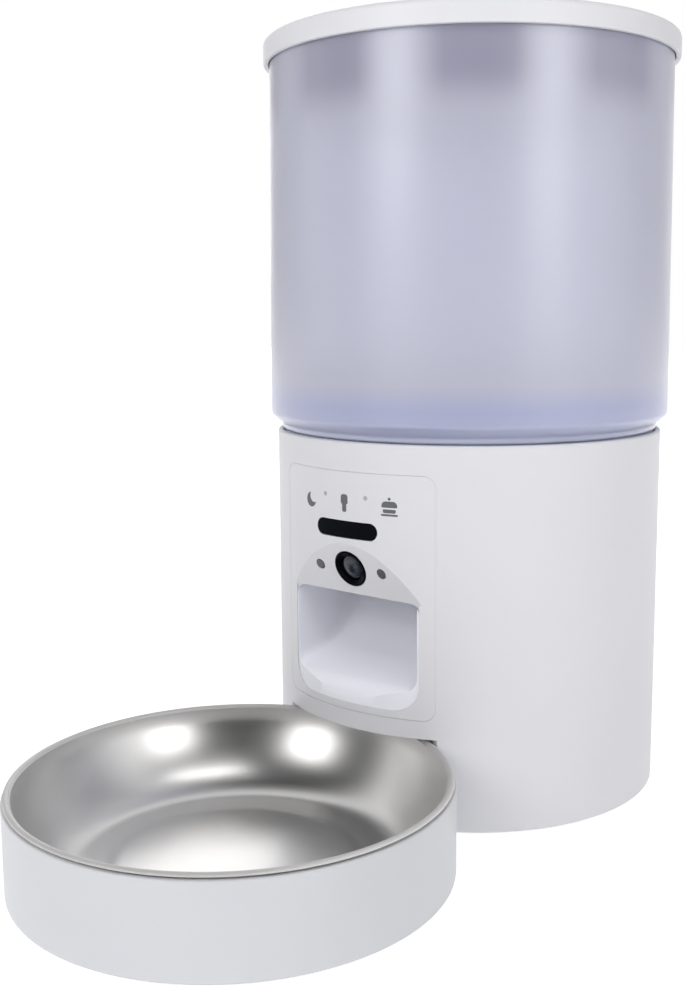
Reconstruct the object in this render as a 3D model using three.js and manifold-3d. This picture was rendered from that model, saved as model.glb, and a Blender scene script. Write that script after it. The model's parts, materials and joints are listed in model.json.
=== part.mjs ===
// Automatic pet feeder with a camera: a frosted food tank on a round base,
// and a steel bowl in a pull-out tray.
// Millimetres, +Z up, front towards -Y. The origin lies on the floor under the middle of the whole outline.
import * as THREE from 'three';
import { mergeVertices } from 'three/addons/utils/BufferGeometryUtils.js';
import Module from 'manifold-3d';

const { clamp, degToRad, lerp, mapLinear } = THREE.MathUtils;

// Clearances
const seatGap = 0.3;
const runGap = 0.8;
const cutOver = 3;
const weldGap = 0.0001;

// Steps round a full turn, and along a rounded corner
const fineSteps = 60;
const roundSteps = 40;
const smallSteps = 16;
const tinySteps = 8;
const cornerSteps = 3;

// Base housing
const baseR = 85;
const baseTopZ = 158;
const baseLift = 1.2;
const baseWall = 2.6;
const baseTopEdge = 0.8;

// Bowl tray, and the dock in the housing that it slides into
const trayR = 84;
const trayNest = 19;
const trayWall = 2.4;
const trayTopZ = 36.4;
const trayLift = 1.2;
const trayFloor = 2.4;
const trayFootEdge = 1.6;
const dockGap = 0.8;
const dockHeadroom = 0.9;
const dockWall = 2;
const trayPadR = 6;
const trayPadInset = 16;
const trayPadSink = 0.8;
const trayPads = 4;

// Steel bowl
const bowlSheet = 0.8;
const bowlRimInset = 0.7;
const bowlRimRise = 2.2;
const bowlLipR = 1.2;
const bowlSideGap = 1;
const bowlFloorZ = 5;
const bowlSweep = 23.6;
const bowlRingW = 10;
const bowlDiscRise = 1.1;
const bowlDomeRise = 1.4;
const bowlWallSteps = 6;
const bowlWallPullShare = 0.27;
const bowlDomeMidShare = 0.75;

// Front panel and its openings
const panelHalfW = 39;
const panelFootZ = 47;
const panelTopZ = 146;
const panelCornerR = 5;
const panelSeam = 0.4;
const outletHalfW = 33;
const outletFootZ = 50;
const outletTopZ = 94.3;
const outletHeadCornerR = 4.5;
const outletFootCornerR = 11;

// Leaning facet above the outlet
const facetTopZ = 116.4;
const facetTilt = degToRad(18);
const facetHalfW = 36;
const facetWall = 2.4;
const facetOverlap = 4;

// Camera and the infra-red lights on the facet
const cameraZ = 105.4;
const bezelR = 7.8;
const bezelBoreR = 5.6;
const bezelProud = 0.8;
const bezelDepth = 3.2;
const lensDome = 0.9;
const lensSink = 0.7;
const lensThick = 1.6;
const barrelR = 5.2;
const barrelLength = 6;
const cameraBoardSide = 17;
const boardThick = 1.6;
const irLightR = 2;
const irLightX = 16.3;
const irLightProud = 0.2;

// Display window and status lights
const displayZ = 122.3;
const displayW = 32;
const displayH = 7.2;
const displaySink = 0.1;
const statusX = 10.6;
const statusZ = 136;
const statusR = 0.85;

// User interface board behind the panel
const uiBoardHalfW = 27;
const uiBoardFootZ = 119.5;
const uiBoardTopZ = 143;
const uiBoardInset = 10;
const uiPostX = 22;
const uiPostR = 2.5;
const uiDisplayHalfW = 14;
const uiDisplayH = 6;
const uiChip = 6;
const uiChipThick = 1.4;

// Outlet chute
const chuteStep = 1;
const chuteWall = 2;
const lipR = 10;
const lipSteps = 5;
const rampTilt = degToRad(21);
const rampRun = 32;
const throatFrontGap = 1.5;

// Rotor well, its deck and the drop hole
const deckDrop = 3;
const deckThick = 2.5;
const deckRimW = 4;
const wellInset = 25;
const wellWall = 2.2;
const wellDepth = 34.5;
const wellBoreR = 6;
const wellBossR = 20;
const wellBossH = 2;
const dropHubGap = 7;
const dropWallGap = 3;
const dropHalfAngle = degToRad(26);

// Metering rotor and agitator
const vanes = 6;
const vaneThick = 2.6;
const hubR = 19;
const hubWall = 2.2;
const hubBoreWall = 3;
const hubCrown = 6;
const agitatorHubR = 12;
const agitatorHubH = 9;
const agitatorThroatGap = 13;
const agitatorArmW = 5;
const agitatorArmH = 4;
const agitatorFingerH = 14;
const agitatorFingerW = 5;
const agitatorHeadroom = 1.5;

// Outlet baffle above the drop hole
const baffleHubGap = 2;
const baffleLap = 6;
const baffleHalfAngle = degToRad(38);
const baffleThick = 2;

// Drive: coupler, gearbox, motor and their screws
const couplerR = 4.6;
const couplerHeight = 26;
const couplerSides = 6;
const outputShaftR = 3;
const outputShaftLength = 12;
const gearboxR = 18.5;
const gearboxH = 24;
const motorR = 14;
const motorH = 36;
const motorEdge = 2;
const motorTailR = 5;
const motorTailH = 2;
const screwRing = 12.5;
const motorScrewR = 1.5;
const motorScrewHeadR = 2.8;
const motorScrewHeadH = 1.6;
const motorScrewLength = 9;

// Bottom plate, battery bay and door
const plateLift = 2.4;
const plateThick = 3.6;
const bayWidthShare = 0.5906;
const cellLengthShare = 0.6824;
const cellNubR = 4.5;
const cellNubH = 2;
const cellGap = 0.8;
const cells = 3;
const bayCornerGap = 6;
const bayWall = 1.8;
const contactThick = 0.6;
const contactSpring = 3.4;
const contactNub = 1;
const doorLap = 3;
const doorThick = 2;
const doorScrewR = 1.5;
const doorScrewHeadR = 2.6;
const doorScrewInset = 1.6;
const doorScrewLength = 6;

// Screws that hold the bottom plate, and the housing bosses that take them
const baseScrewInset = 8;
const baseScrewAngles = [-4, 184, 55, 125].map(degToRad);
const bossR = 5.8;
const bossH = 22;
const baseScrewR = 1.5;
const baseScrewHeadR = 3;
const baseScrewHeadH = 1.8;
const baseScrewLength = 14;
const screwSlack = 0.3;

// Rubber feet
const footR = 6;
const footSink = 1.2;
const footInset = 12;
const footAngles = [-24, 204, 71, 109].map(degToRad);
const footEdge = 1;

// Main board, speaker and power inlet at the rear
const mainBoardSideGap = 16;
const mainBoardH = 64;
const mainBoardInset = 4;
const boardPostW = 7;
const boardPostH = 12;
const boardPostDeep = 3;
const chipSide = 12;
const chipThick = 1.8;
const capR = 4;
const capH = 9;
const capSpots = 3;
const speakerR = 18;
const speakerZ = 95;
const speakerRimDeep = 4;
const speakerMagnetR = 10;
const speakerDeep = 13;
const grilleSlotW = 2;
const grilleSlotH = 20;
const grillePitch = 4.5;
const grilleSlots = 5;
const inletZ = 22;
const inletHalfW = 7;
const inletHalfH = 4.5;
const inletDeep = 10;
const inletSink = 0.8;
const inletSlotHalfW = 4.5;
const inletSlotHalfH = 1.6;
const inletSlotDeep = 7;
const inletTongueHalfW = 3.3;
const inletTongueHalfH = 0.35;

// Tank shell and funnel
const tankNeckInset = 2;
const tankNeckH = 2.3;
const tankOverhang = 2.9;
const tankTaperH = 4.3;
const tankDraft = 1.4;
const tankH = 162;
const tankWall = 2.4;
const funnelWall = 2;
const funnelRise = 27;
const throatInset = 4;
const throatLipH = 2.5;
const funnelSkirtGap = 0.7;
const funnelSkirtWall = 2;
const funnelSkirtDip = 2.4;

// Lid with its skirt, seal and desiccant box
const lidRimGap = 0.4;
const lidRise = 2.5;
const lidRimH = 9.3;
const lidPlate = 2.2;
const lidRimWall = 2.2;
const lidEdge = 2;
const skirtGap = 1.9;
const skirtWall = 2;
const skirtDrop = 30.8;
const sealRise = 7;
const sealH = 5;
const sealGroove = 1.6;
const sealGrooveDeep = 0.6;
const dryBoxR = 32;
const dryBoxWall = 2;
const dryBoxH = 15;
const dryCapThick = 2.2;
const dryCapLap = 1.5;
const dryCapCollarH = 4;
const dryCapSlots = 6;
const dryCapSlotW = 4;
const dryCapSlotInnerR = 8;
const drySachetR = 24;
const drySachetH = 8;
const drySachetEdge = 2.5;

// Sizes that follow
const baseInR = baseR - baseWall;
const liningR = baseInR - seatGap;
const trayReach = baseR + trayR - trayNest;
const trayPadRing = trayR - trayPadInset;
const bowlRimR = trayR - bowlRimInset;
const bowlRimZ = trayTopZ + bowlRimRise;
const bowlWallTopR = trayR - trayWall - bowlSideGap;
const bowlFloorR = bowlWallTopR - bowlSweep;
const bowlDiscR = bowlFloorR - bowlRingW;
const dockR = trayR + dockGap;
const dockTopZ = bowlRimZ + dockHeadroom;
const wellR = baseR - wellInset;
const dropInnerR = hubR + dropHubGap;
const dropOuterR = wellR - dropWallGap;
const baffleInnerR = hubR + baffleHubGap;
const throatR = wellR - throatInset;
const agitatorReach = throatR - agitatorThroatGap;
const deckTopZ = baseTopZ - deckDrop;
const wellFloorZ = deckTopZ - wellDepth;
const wellFootZ = wellFloorZ - wellWall;
const rotorFootZ = wellFloorZ + runGap;
const rotorTopZ = deckTopZ - runGap;
const rotorR = wellR - runGap;
const gearboxTopZ = wellFootZ - wellBossH - seatGap;
const motorTopZ = gearboxTopZ - gearboxH - seatGap;
const facetSlope = Math.tan(facetTilt);
const facetDepthAt = z => (facetTopZ - z) * facetSlope;
const cameraPoint = new THREE.Vector3(0, facetDepthAt(cameraZ) - baseR, cameraZ);
const uiBoardY = uiBoardInset - baseR;
const baseScrewRing = baseR - baseScrewInset;
const footRing = baseR - footInset;
const plateTopZ = plateLift + plateThick;
const doorTopZ = plateLift + doorThick;
const bayHalfW = baseR * bayWidthShare;
const cellPitch = (2 * bayHalfW - cellGap) / cells;
const cellR = (cellPitch - cellGap) / 2;
const cellLength = baseR * cellLengthShare;
const cellZ = doorTopZ + cellGap + cellR;
const bayHalfL = (cellLength + cellNubH + contactSpring) / 2 + contactThick + contactNub + cellGap;
const bayTopZ = cellZ + cellR + cellGap;
const bayRearY = Math.sqrt((baseInR - bayCornerGap) ** 2 - (bayHalfW + bayWall) ** 2) - bayWall;
const bayFrontY = bayRearY - 2 * bayHalfL;
const mainBoardY = bayRearY - mainBoardInset;
const mainBoardHalfW = bayHalfW - mainBoardSideGap;
const throatTopZ = wellFootZ - seatGap;
const tankNeckR = baseR - tankNeckInset;
const tankFootR = baseR + tankOverhang;
const tankTopR = tankFootR - tankDraft;
const tankFootZ = baseTopZ + seatGap;
const tankTopZ = tankFootZ + tankH;
const tankInR = tankTopR - tankWall;
const lidR = tankTopR + lidRimGap + lidRimWall;
const lidTopZ = tankTopZ + lidRise;
const lidFootZ = lidTopZ - lidRimH;
const skirtR = tankInR - skirtGap;
const skirtFootZ = lidTopZ - skirtDrop;
const sealFootZ = skirtFootZ + sealRise;
const frontReach = trayReach + trayR;
const bodyY = (frontReach - lidR) / 2;

const wasm = await Module();
wasm.setup();

// A closed mesh as a solid, with doubled points merged and empty triangles left out
function solid(geometry, place) {
  if (place) {
    geometry.applyMatrix4(place);
  }
  geometry.deleteAttribute('normal');
  geometry.deleteAttribute('uv');
  const merged = mergeVertices(geometry, weldGap);
  const index = merged.index.array;
  const kept = [];
  for (let i = 0; i < index.length; i += 3) {
    const [a, b, c] = index.subarray(i, i + 3);
    if (a !== b && b !== c && c !== a) {
      kept.push(a, b, c);
    }
  }
  const vertProperties = merged.attributes.position.array;
  return new wasm.Manifold(new wasm.Mesh({ numProp: 3, vertProperties, triVerts: new Uint32Array(kept) }));
}

// Solid turned about Z from a closed outline of [radius, height] points
function turned(points, steps = fineSteps, place) {
  const outline = points.map(([r, z]) => new THREE.Vector2(r, z));
  if (THREE.ShapeUtils.area(outline) < 0) {
    outline.reverse();
  }
  const start = outline.findIndex((p, i) => p.x === 0 && outline.at(i - 1).x === 0);
  const open = start < 0 ? [...outline, outline[0]] : [...outline.slice(start), ...outline.slice(0, start)];
  const geometry = new THREE.LatheGeometry(open, steps);
  geometry.rotateX(Math.PI / 2);
  return solid(geometry, place);
}

const rod = (r, z0, z1, steps = roundSteps, place) =>
  turned([[0, z0], [r, z0], [r, z1], [0, z1]], steps, place);
const ring = (r0, r1, z0, z1, steps) => turned([[r0, z0], [r1, z0], [r1, z1], [r0, z1]], steps);

function block(x0, x1, y0, y1, z0, z1, place) {
  const geometry = new THREE.BoxGeometry(x1 - x0, y1 - y0, z1 - z0);
  geometry.translate((x0 + x1) / 2, (y0 + y1) / 2, (z0 + z1) / 2);
  return solid(geometry, place);
}

// Flat outline pushed along Z, along Y (drawn in X and Z) or along X (drawn in Y and Z)
function pushed(shape, from, to, turn) {
  const settings = { depth: to - from, bevelEnabled: false, curveSegments: tinySteps };
  const geometry = new THREE.ExtrudeGeometry(shape, settings);
  geometry.translate(0, 0, from);
  return solid(geometry, turn);
}

const pushedZ = (shape, z0, z1) => pushed(shape, z0, z1);
const pushedY = (shape, y0, y1) => pushed(shape, -y1, -y0, new THREE.Matrix4().makeRotationX(Math.PI / 2));
const alongX = new THREE.Matrix4().makeBasis(
  new THREE.Vector3(0, 1, 0), new THREE.Vector3(0, 0, 1), new THREE.Vector3(1, 0, 0));
const pushedX = (points, x0, x1) => pushed(polygon(points), x0, x1, alongX);

function polygon(points) {
  return new THREE.Shape(points.map(([x, y]) => new THREE.Vector2(x, y)));
}

// Rectangle with its own radius at the foot corners and at the head corners
function roundedPanel(halfW, z0, z1, footR, headR) {
  const shape = new THREE.Shape();
  shape.absarc(halfW - footR, z0 + footR, footR, -Math.PI / 2, 0, false);
  shape.absarc(halfW - headR, z1 - headR, headR, 0, Math.PI / 2, false);
  shape.absarc(headR - halfW, z1 - headR, headR, Math.PI / 2, Math.PI, false);
  shape.absarc(footR - halfW, z0 + footR, footR, Math.PI, 1.5 * Math.PI, false);
  return polygon(shape.getPoints(cornerSteps).map(p => [p.x, p.y]));
}

// Part of a ring round the body axis, centred on the front
function frontSector(r0, r1, halfAngle) {
  const shape = new THREE.Shape();
  const middle = -Math.PI / 2;
  shape.absarc(0, 0, r1, middle - halfAngle, middle + halfAngle, false);
  shape.absarc(0, 0, r0, middle + halfAngle, middle - halfAngle, true);
  return shape;
}

// Open path moved sideways by a wall, to the right of its direction
function offsetPath(points, wall) {
  const vectors = points.map(p => new THREE.Vector2(...p));
  return vectors.map((p, i) => {
    const before = p.clone().sub(vectors[Math.max(i - 1, 0)]).normalize();
    const after = vectors[Math.min(i + 1, vectors.length - 1)].clone().sub(p).normalize();
    const along = before.add(after).normalize();
    const reference = after.lengthSq() > 0 ? after : along;
    const mitre = wall / along.dot(reference);
    return [p.x + along.y * mitre, p.y - along.x * mitre];
  });
}

const cut = (body, ...tools) => tools.reduce((left, tool) => left.subtract(tool), body);
const join = (body, ...others) => others.reduce((left, other) => left.add(other), body);
const common = (body, other) => body.intersect(other);
const atPlace = (x, y, z) => new THREE.Matrix4().makeTranslation(x, y, z);
const onRing = (r, angle) => [r * Math.cos(angle), r * Math.sin(angle)];
const spaced = (count, pitch) => Array.from({ length: count }, (_, i) => (i - (count - 1) / 2) * pitch);

// Finishes
const finish = (color, roughness, metalness = 0, extra = {}) =>
  new THREE.MeshStandardMaterial({ color, roughness, metalness, ...extra });
const whiteShell = finish(0xe9eaee, 0.42);
const whiteInside = finish(0xdcdde3, 0.55);
const chuteGrey = finish(0xc4c5d2, 0.5);
const frosted = finish(0xb7b9d8, 0.45, 0, { transparent: true, opacity: 0.6 });
const steel = finish(0xc6c7c9, 0.28, 1);
const plated = finish(0xb9bbbf, 0.35, 1);
const gloss = finish(0x0d0e12, 0.1);
const lensGlass = finish(0x141a2c, 0.05);
const smoked = finish(0x53555c, 0.2);
const rubber = finish(0xa2a4aa, 0.8);
const silicone = finish(0xd5d7df, 0.65);
const rotorGreen = finish(0xc3d3cb, 0.55);
const circuit = finish(0x2d6a4a, 0.5);
const cellSleeve = finish(0x3c4a5e, 0.4);
const sachet = finish(0xf2f1ec, 0.85);

const model = new THREE.Group();
const body = new THREE.Group();
body.position.y = bodyY;
model.add(body);
const tray = new THREE.Group();
tray.position.y = -trayReach;
body.add(tray);
const facet = new THREE.Group();
facet.position.copy(cameraPoint);
facet.rotation.x = Math.PI / 2 + facetTilt;
body.add(facet);

function part(name, look, shape, home = body, at = [0, 0, 0]) {
  const { vertProperties, triVerts } = shape.getMesh();
  const geometry = new THREE.BufferGeometry();
  geometry.setAttribute('position', new THREE.BufferAttribute(vertProperties, 3));
  geometry.setIndex(new THREE.BufferAttribute(triVerts, 1));
  geometry.computeVertexNormals();
  const mesh = new THREE.Mesh(geometry, look);
  mesh.name = name;
  mesh.position.set(...at);
  home.add(mesh);
}

// Base housing: one round casing with the bowl notch, the panel window, the screw bosses
// and the rear openings
const casing = turned([
  [baseInR, baseLift], [baseR, baseLift], [baseR, baseTopZ - baseTopEdge],
  [baseR - baseTopEdge, baseTopZ], [baseInR, baseTopZ]]);
const underFront = atPlace(0, -trayReach, 0);
const bossSpots = baseScrewAngles.map(angle => onRing(baseScrewRing, angle));
const insideWall = rod(baseR - baseWall / 2, 0, baseTopZ, fineSteps);
const bosses = bossSpots.map(([x, y]) => common(
  rod(bossR, plateTopZ + seatGap, plateTopZ + bossH, tinySteps, atPlace(x, y, 0)), insideWall));
const bossHoles = bossSpots.map(([x, y]) => rod(
  baseScrewR + screwSlack, plateTopZ, plateTopZ + baseScrewLength, tinySteps, atPlace(x, y, 0)));
const panelShape = gap => roundedPanel(
  panelHalfW + gap, panelFootZ - gap, panelTopZ + gap, panelCornerR, panelCornerR);
const panelWindow = pushedY(panelShape(panelSeam), -baseR - cutOver, -wellR);
const inletWindow = block(
  -inletHalfW - seatGap, inletHalfW + seatGap, bayHalfL, baseR + cutOver, inletZ - inletHalfH - seatGap,
  inletZ + inletHalfH + seatGap);
const grille = spaced(grilleSlots, grillePitch).map(x => block(
  x - grilleSlotW / 2, x + grilleSlotW / 2, wellR, baseR + cutOver, speakerZ - grilleSlotH / 2,
  speakerZ + grilleSlotH / 2));
part('base_housing', whiteShell, cut(
  join(casing, ...bosses),
  ...bossHoles, panelWindow, inletWindow, ...grille,
  rod(dockR, baseLift - cutOver, dockTopZ, fineSteps, underFront)));

// Front panel: a curved insert flush with the casing, with the leaning facet and the cut-outs
const onFacet = facet.matrix.clone().compose(facet.position, facet.quaternion, facet.scale);
const facetUp = (facetTopZ - cameraZ) / Math.cos(facetTilt);
const facetDown = (cameraZ - outletFootZ) / Math.cos(facetTilt);
const aboveOutlet = block(-baseR, baseR, -baseR - cutOver, 0, outletTopZ, panelTopZ);
const facetFront = common(
  block(-facetHalfW, facetHalfW, -facetDown, facetUp + facetOverlap, 0, baseR - wellR, onFacet), aboveOutlet);
const facetPlate = common(
  block(-facetHalfW, facetHalfW, -facetDown, facetUp + facetOverlap, -facetWall, 0, onFacet),
  common(aboveOutlet, rod(baseR, 0, panelTopZ, fineSteps)));
const outletShape = inset => roundedPanel(
  outletHalfW - inset, outletFootZ + inset, outletTopZ - inset,
  outletFootCornerR - inset, outletHeadCornerR - inset);
const displayShape = inset => roundedPanel(
  displayW / 2 - inset, displayZ - displayH / 2 + inset, displayZ + displayH / 2 - inset,
  displayH / 2 - inset, displayH / 2 - inset);
const irSpot = side => onFacet.clone().multiply(atPlace(side * irLightX, 0, 0));
const throughPanel = (x, z, r, y0, y1) => rod(
  r, -y1, -y0, tinySteps, atPlace(x, 0, z).multiply(new THREE.Matrix4().makeRotationX(Math.PI / 2)));
const statusHoles = [-1, 1].map(side => throughPanel(
  side * statusX, statusZ, statusR + seatGap, -baseR - cutOver, -wellR));
const uiPosts = [-1, 1].map(side => throughPanel(
  side * uiPostX, uiBoardTopZ - uiPostR, uiPostR, -baseInR - baseWall / 2, uiBoardY - seatGap));
const band = turned([[baseInR, panelFootZ], [baseR, panelFootZ], [baseR, panelTopZ], [baseInR, panelTopZ]]);
const panelBlank = common(band, pushedY(panelShape(0), -baseR - cutOver, -wellR));
part('front_panel', whiteShell, cut(
  join(cut(panelBlank, facetFront), facetPlate, ...uiPosts.map(post => common(post, insideWall))),
  pushedY(outletShape(0), -baseR - cutOver, -wellR),
  pushedY(displayShape(0), -baseR - cutOver, -wellR),
  ...statusHoles,
  rod(bezelR + seatGap, -bezelDepth - cutOver, bezelProud + cutOver, smallSteps, onFacet),
  ...[-1, 1].map(side => rod(irLightR + seatGap, -cutOver - facetWall, cutOver, tinySteps, irSpot(side)))));

// Black window of the display and the two status light pipes, flush in the panel
const flush = ring(baseInR, baseR - displaySink, panelFootZ, panelTopZ);
part('display_window', gloss, common(flush, pushedY(displayShape(seatGap), -baseR - cutOver, -wellR)));
for (const [side, word] of [[-1, 'left'], [1, 'right']]) {
  const pipe = throughPanel(side * statusX, statusZ, statusR, -baseR - cutOver, -wellR);
  part(`status_light_${word}`, smoked, common(flush, pipe));
  const irLight = rod(irLightR, -facetWall, irLightProud, tinySteps);
  part(`ir_light_${word}`, smoked, irLight, facet, [side * irLightX, 0, 0]);
}

// Camera: bezel ring, domed lens and the module behind them
part('camera_bezel', gloss, turned([
  [bezelBoreR, -bezelDepth], [bezelR, -bezelDepth], [bezelR, 0], [bezelR - bezelProud, bezelProud],
  [bezelBoreR, -lensSink / 2]], smallSteps), facet);
const lensRimR = bezelBoreR - seatGap;
part('camera_lens', lensGlass, turned([
  [0, -lensSink - lensThick], [lensRimR, -lensSink - lensThick], [lensRimR, -lensSink - lensDome],
  [lensRimR * Math.SQRT1_2, -lensSink - lensDome / 3], [0, -lensSink]], smallSteps), facet);
const barrelTop = -lensSink - lensThick - seatGap;
const cameraBoardTop = barrelTop - barrelLength;
part('camera_module', circuit, join(
  rod(barrelR, cameraBoardTop - boardThick / 2, barrelTop, smallSteps),
  block(-cameraBoardSide / 2, cameraBoardSide / 2, -cameraBoardSide / 2, cameraBoardSide / 2,
    cameraBoardTop - boardThick, cameraBoardTop)), facet);

// User interface board on two posts, with its display block and two chips
const uiBoardBack = uiBoardY + boardThick;
const uiDisplayFrontY = -Math.sqrt(baseInR ** 2 - uiDisplayHalfW ** 2) + runGap;
part('ui_board', circuit, join(
  block(-uiBoardHalfW, uiBoardHalfW, uiBoardY, uiBoardBack, uiBoardFootZ, uiBoardTopZ),
  block(-uiDisplayHalfW, uiDisplayHalfW, uiDisplayFrontY, uiBoardY + boardThick / 2,
    displayZ - uiDisplayH / 2, displayZ + uiDisplayH / 2),
  ...[-1, 1].map(side => block(
    side * uiPostX / 2 - uiChip / 2, side * uiPostX / 2 + uiChip / 2, uiBoardBack - boardThick / 2,
    uiBoardBack + uiChipThick, statusZ - uiChip / 2, statusZ + uiChip / 2))));

// Outlet chute: rounded lip, shallow ramp and steep throat between two side walls
const chuteHalfW = outletHalfW - chuteStep;
const lipY = -baseR + panelSeam + lipR;
const lipZ = outletFootZ + seatGap;
const lipArc = Array.from({ length: lipSteps + 1 }, (_, i) => {
  const angle = (Math.PI / 2 - rampTilt) * i / lipSteps;
  return [lipY - lipR * Math.cos(angle), lipZ + lipR * Math.sin(angle)];
});
const [rampY, rampZ] = lipArc.at(-1);
const throatBackY = -dropInnerR * Math.cos(dropHalfAngle) + panelSeam;
const throatFrontY = -dropOuterR - throatFrontGap;
const rampEnd = [rampY + rampRun, rampZ + rampRun * Math.tan(rampTilt)];
const chuteFloor = [...lipArc, rampEnd, [throatBackY, throatTopZ]];
const chuteUnder = offsetPath(chuteFloor, chuteWall).map(([y, z]) => [y, clamp(z, lipZ, throatTopZ)]);
const roofY = facetDepthAt(outletTopZ) - baseR + facetWall / Math.cos(facetTilt) + seatGap;
const roofZ = outletTopZ + seatGap;
const chuteSide = [
  ...chuteUnder, [throatFrontY - chuteWall, throatTopZ], [throatFrontY - chuteWall, roofZ + chuteWall],
  [roofY, roofZ + chuteWall], [roofY, outletTopZ - seatGap], [-baseR, outletTopZ - seatGap], [-baseR, lipZ]];
const chuteRoof = [
  [roofY, roofZ], [throatFrontY, roofZ], [throatFrontY, throatTopZ], [throatFrontY - chuteWall, throatTopZ],
  [throatFrontY - chuteWall, roofZ + chuteWall], [roofY, roofZ + chuteWall]];
const chuteOuterW = chuteHalfW + chuteWall;
const chuteApron = common(
  pushedX([...lipArc, [rampY, lipZ]], -chuteOuterW, chuteOuterW),
  ring(liningR - chuteWall, baseR - panelSeam, outletFootZ, outletTopZ));
const chuteClip = join(
  rod(liningR, 0, baseTopZ, fineSteps),
  common(
    rod(baseR - panelSeam, 0, baseTopZ, fineSteps),
    pushedY(outletShape(seatGap), -baseR - cutOver, -wellR)));
part('outlet_chute', chuteGrey, common(join(
  chuteApron,
  pushedX([...chuteFloor, ...chuteUnder.toReversed()], -chuteOuterW, chuteOuterW),
  pushedX(chuteRoof, -chuteOuterW, chuteOuterW),
  pushedX(chuteSide, -chuteOuterW, -chuteHalfW),
  pushedX(chuteSide, chuteHalfW, chuteOuterW)), chuteClip));

// Tray dock: back wall and roof of the notch that the tray slides into
const dockOuterR = dockR + dockWall;
part('tray_dock', whiteInside, cut(
  common(
    rod(dockOuterR, plateLift, dockTopZ + dockWall, fineSteps, underFront),
    rod(liningR, 0, baseTopZ, fineSteps)),
  rod(dockR, plateLift - cutOver, dockTopZ, fineSteps, underFront)));

// Bottom plate with the battery bay raised on it, recesses for the feet and the door,
// and slots for the main board
const footSpots = footAngles.map(angle => onRing(footRing, angle));
const footTopZ = plateLift + footSink;
const postRearY = mainBoardY + boardThick + seatGap;
const boardPosts = [-1, 1].flatMap(side => [mainBoardY - seatGap - boardPostDeep, postRearY].map(y => block(
  side * mainBoardHalfW - boardPostW / 2, side * mainBoardHalfW + boardPostW / 2, y, y + boardPostDeep,
  bayTopZ, bayTopZ + bayWall + boardPostH)));
const doorScrewY = bayRearY + doorScrewInset + bayWall;
const doorScrewFarY = doorScrewY + 2 * doorScrewHeadR;
const doorHalfW = bayHalfW + doorLap;
const doorTabHalfW = 2 * doorScrewHeadR;
const doorFrontY = bayFrontY - doorLap;
const doorRearY = bayRearY + doorLap;
const doorShape = gap => polygon([
  [-doorHalfW - gap, doorFrontY - gap], [doorHalfW + gap, doorFrontY - gap],
  [doorHalfW + gap, doorRearY + gap], [doorTabHalfW + gap, doorRearY + gap],
  [doorTabHalfW + gap, doorScrewFarY + gap], [-doorTabHalfW - gap, doorScrewFarY + gap],
  [-doorTabHalfW - gap, doorRearY + gap], [-doorHalfW - gap, doorRearY + gap]]);
const atDoorScrew = atPlace(0, doorScrewY, 0);
const plateDisc = cut(
  rod(liningR, plateLift, plateTopZ, fineSteps),
  rod(dockOuterR + seatGap, 0, plateTopZ + cutOver, fineSteps, underFront));
part('bottom_plate', whiteInside, cut(
  join(
    plateDisc,
    block(
      -bayHalfW - bayWall, bayHalfW + bayWall, bayFrontY - bayWall, bayRearY + bayWall,
      plateLift, bayTopZ + bayWall),
    ...boardPosts,
    rod(doorScrewHeadR + bayWall, plateLift, plateTopZ + doorScrewLength, tinySteps, atDoorScrew)),
  block(-bayHalfW, bayHalfW, bayFrontY, bayRearY, plateLift - cutOver, bayTopZ),
  pushedZ(doorShape(seatGap), plateLift - cutOver, doorTopZ + seatGap),
  rod(doorScrewR + screwSlack, plateLift, doorTopZ + doorScrewLength, tinySteps, atDoorScrew),
  ...footSpots.map(([x, y]) => rod(
    footR + seatGap, plateLift - cutOver, footTopZ, smallSteps, atPlace(x, y, 0))),
  ...bossSpots.flatMap(([x, y]) => [
    rod(baseScrewR + screwSlack, 0, plateTopZ + cutOver, tinySteps, atPlace(x, y, 0)),
    rod(
      baseScrewHeadR + screwSlack, 0, plateLift + baseScrewHeadH + seatGap, tinySteps,
      atPlace(x, y, 0))])));

// Battery door with its screw
const doorScrewSeatZ = plateLift + doorThick / 2;
part('battery_door', whiteInside, cut(
  pushedZ(doorShape(0), plateLift, doorTopZ),
  rod(doorScrewR + screwSlack, 0, doorTopZ + cutOver, tinySteps, atDoorScrew),
  rod(doorScrewHeadR + screwSlack, 0, doorScrewSeatZ + seatGap, tinySteps, atDoorScrew)));
part('battery_door_screw', plated, turned([
  [0, plateLift], [doorScrewHeadR, plateLift], [doorScrewHeadR, doorScrewSeatZ],
  [doorScrewR, doorScrewSeatZ],
  [doorScrewR, plateLift + doorScrewLength], [0, plateLift + doorScrewLength]],
tinySteps), body, [0, doorScrewY, 0]);

// Three cells side by side between two contact strips
const cellFrontY = bayRearY - bayHalfL - cellLength / 2 - (cellNubH - contactSpring) / 2;
const lieAlongY = new THREE.Matrix4().makeRotationX(Math.PI / 2);
const cellXs = spaced(cells, cellPitch);
cellXs.forEach((x, i) => part(`battery_cell_${i + 1}`, cellSleeve, turned([
  [0, -cellLength], [cellR, -cellLength], [cellR, 0], [cellNubR, 0], [cellNubR, cellNubH], [0, cellNubH]],
smallSteps, lieAlongY), body, [x, cellFrontY, cellZ]));
const stripHalfW = bayHalfW - seatGap;
const stripFrontY = bayFrontY + seatGap;
const stripRearY = bayRearY - seatGap;
const nubTipY = cellFrontY - cellNubH - seatGap;
part('battery_contact_front', plated, join(
  block(
    -stripHalfW, stripHalfW, stripFrontY, stripFrontY + contactThick, cellZ - cellR / 2,
    cellZ + cellR / 2),
  ...cellXs.map(x => rod(cellNubR, stripFrontY + contactThick / 2, nubTipY, tinySteps,
    atPlace(x, 0, cellZ).multiply(new THREE.Matrix4().makeRotationX(-Math.PI / 2))))));
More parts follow.
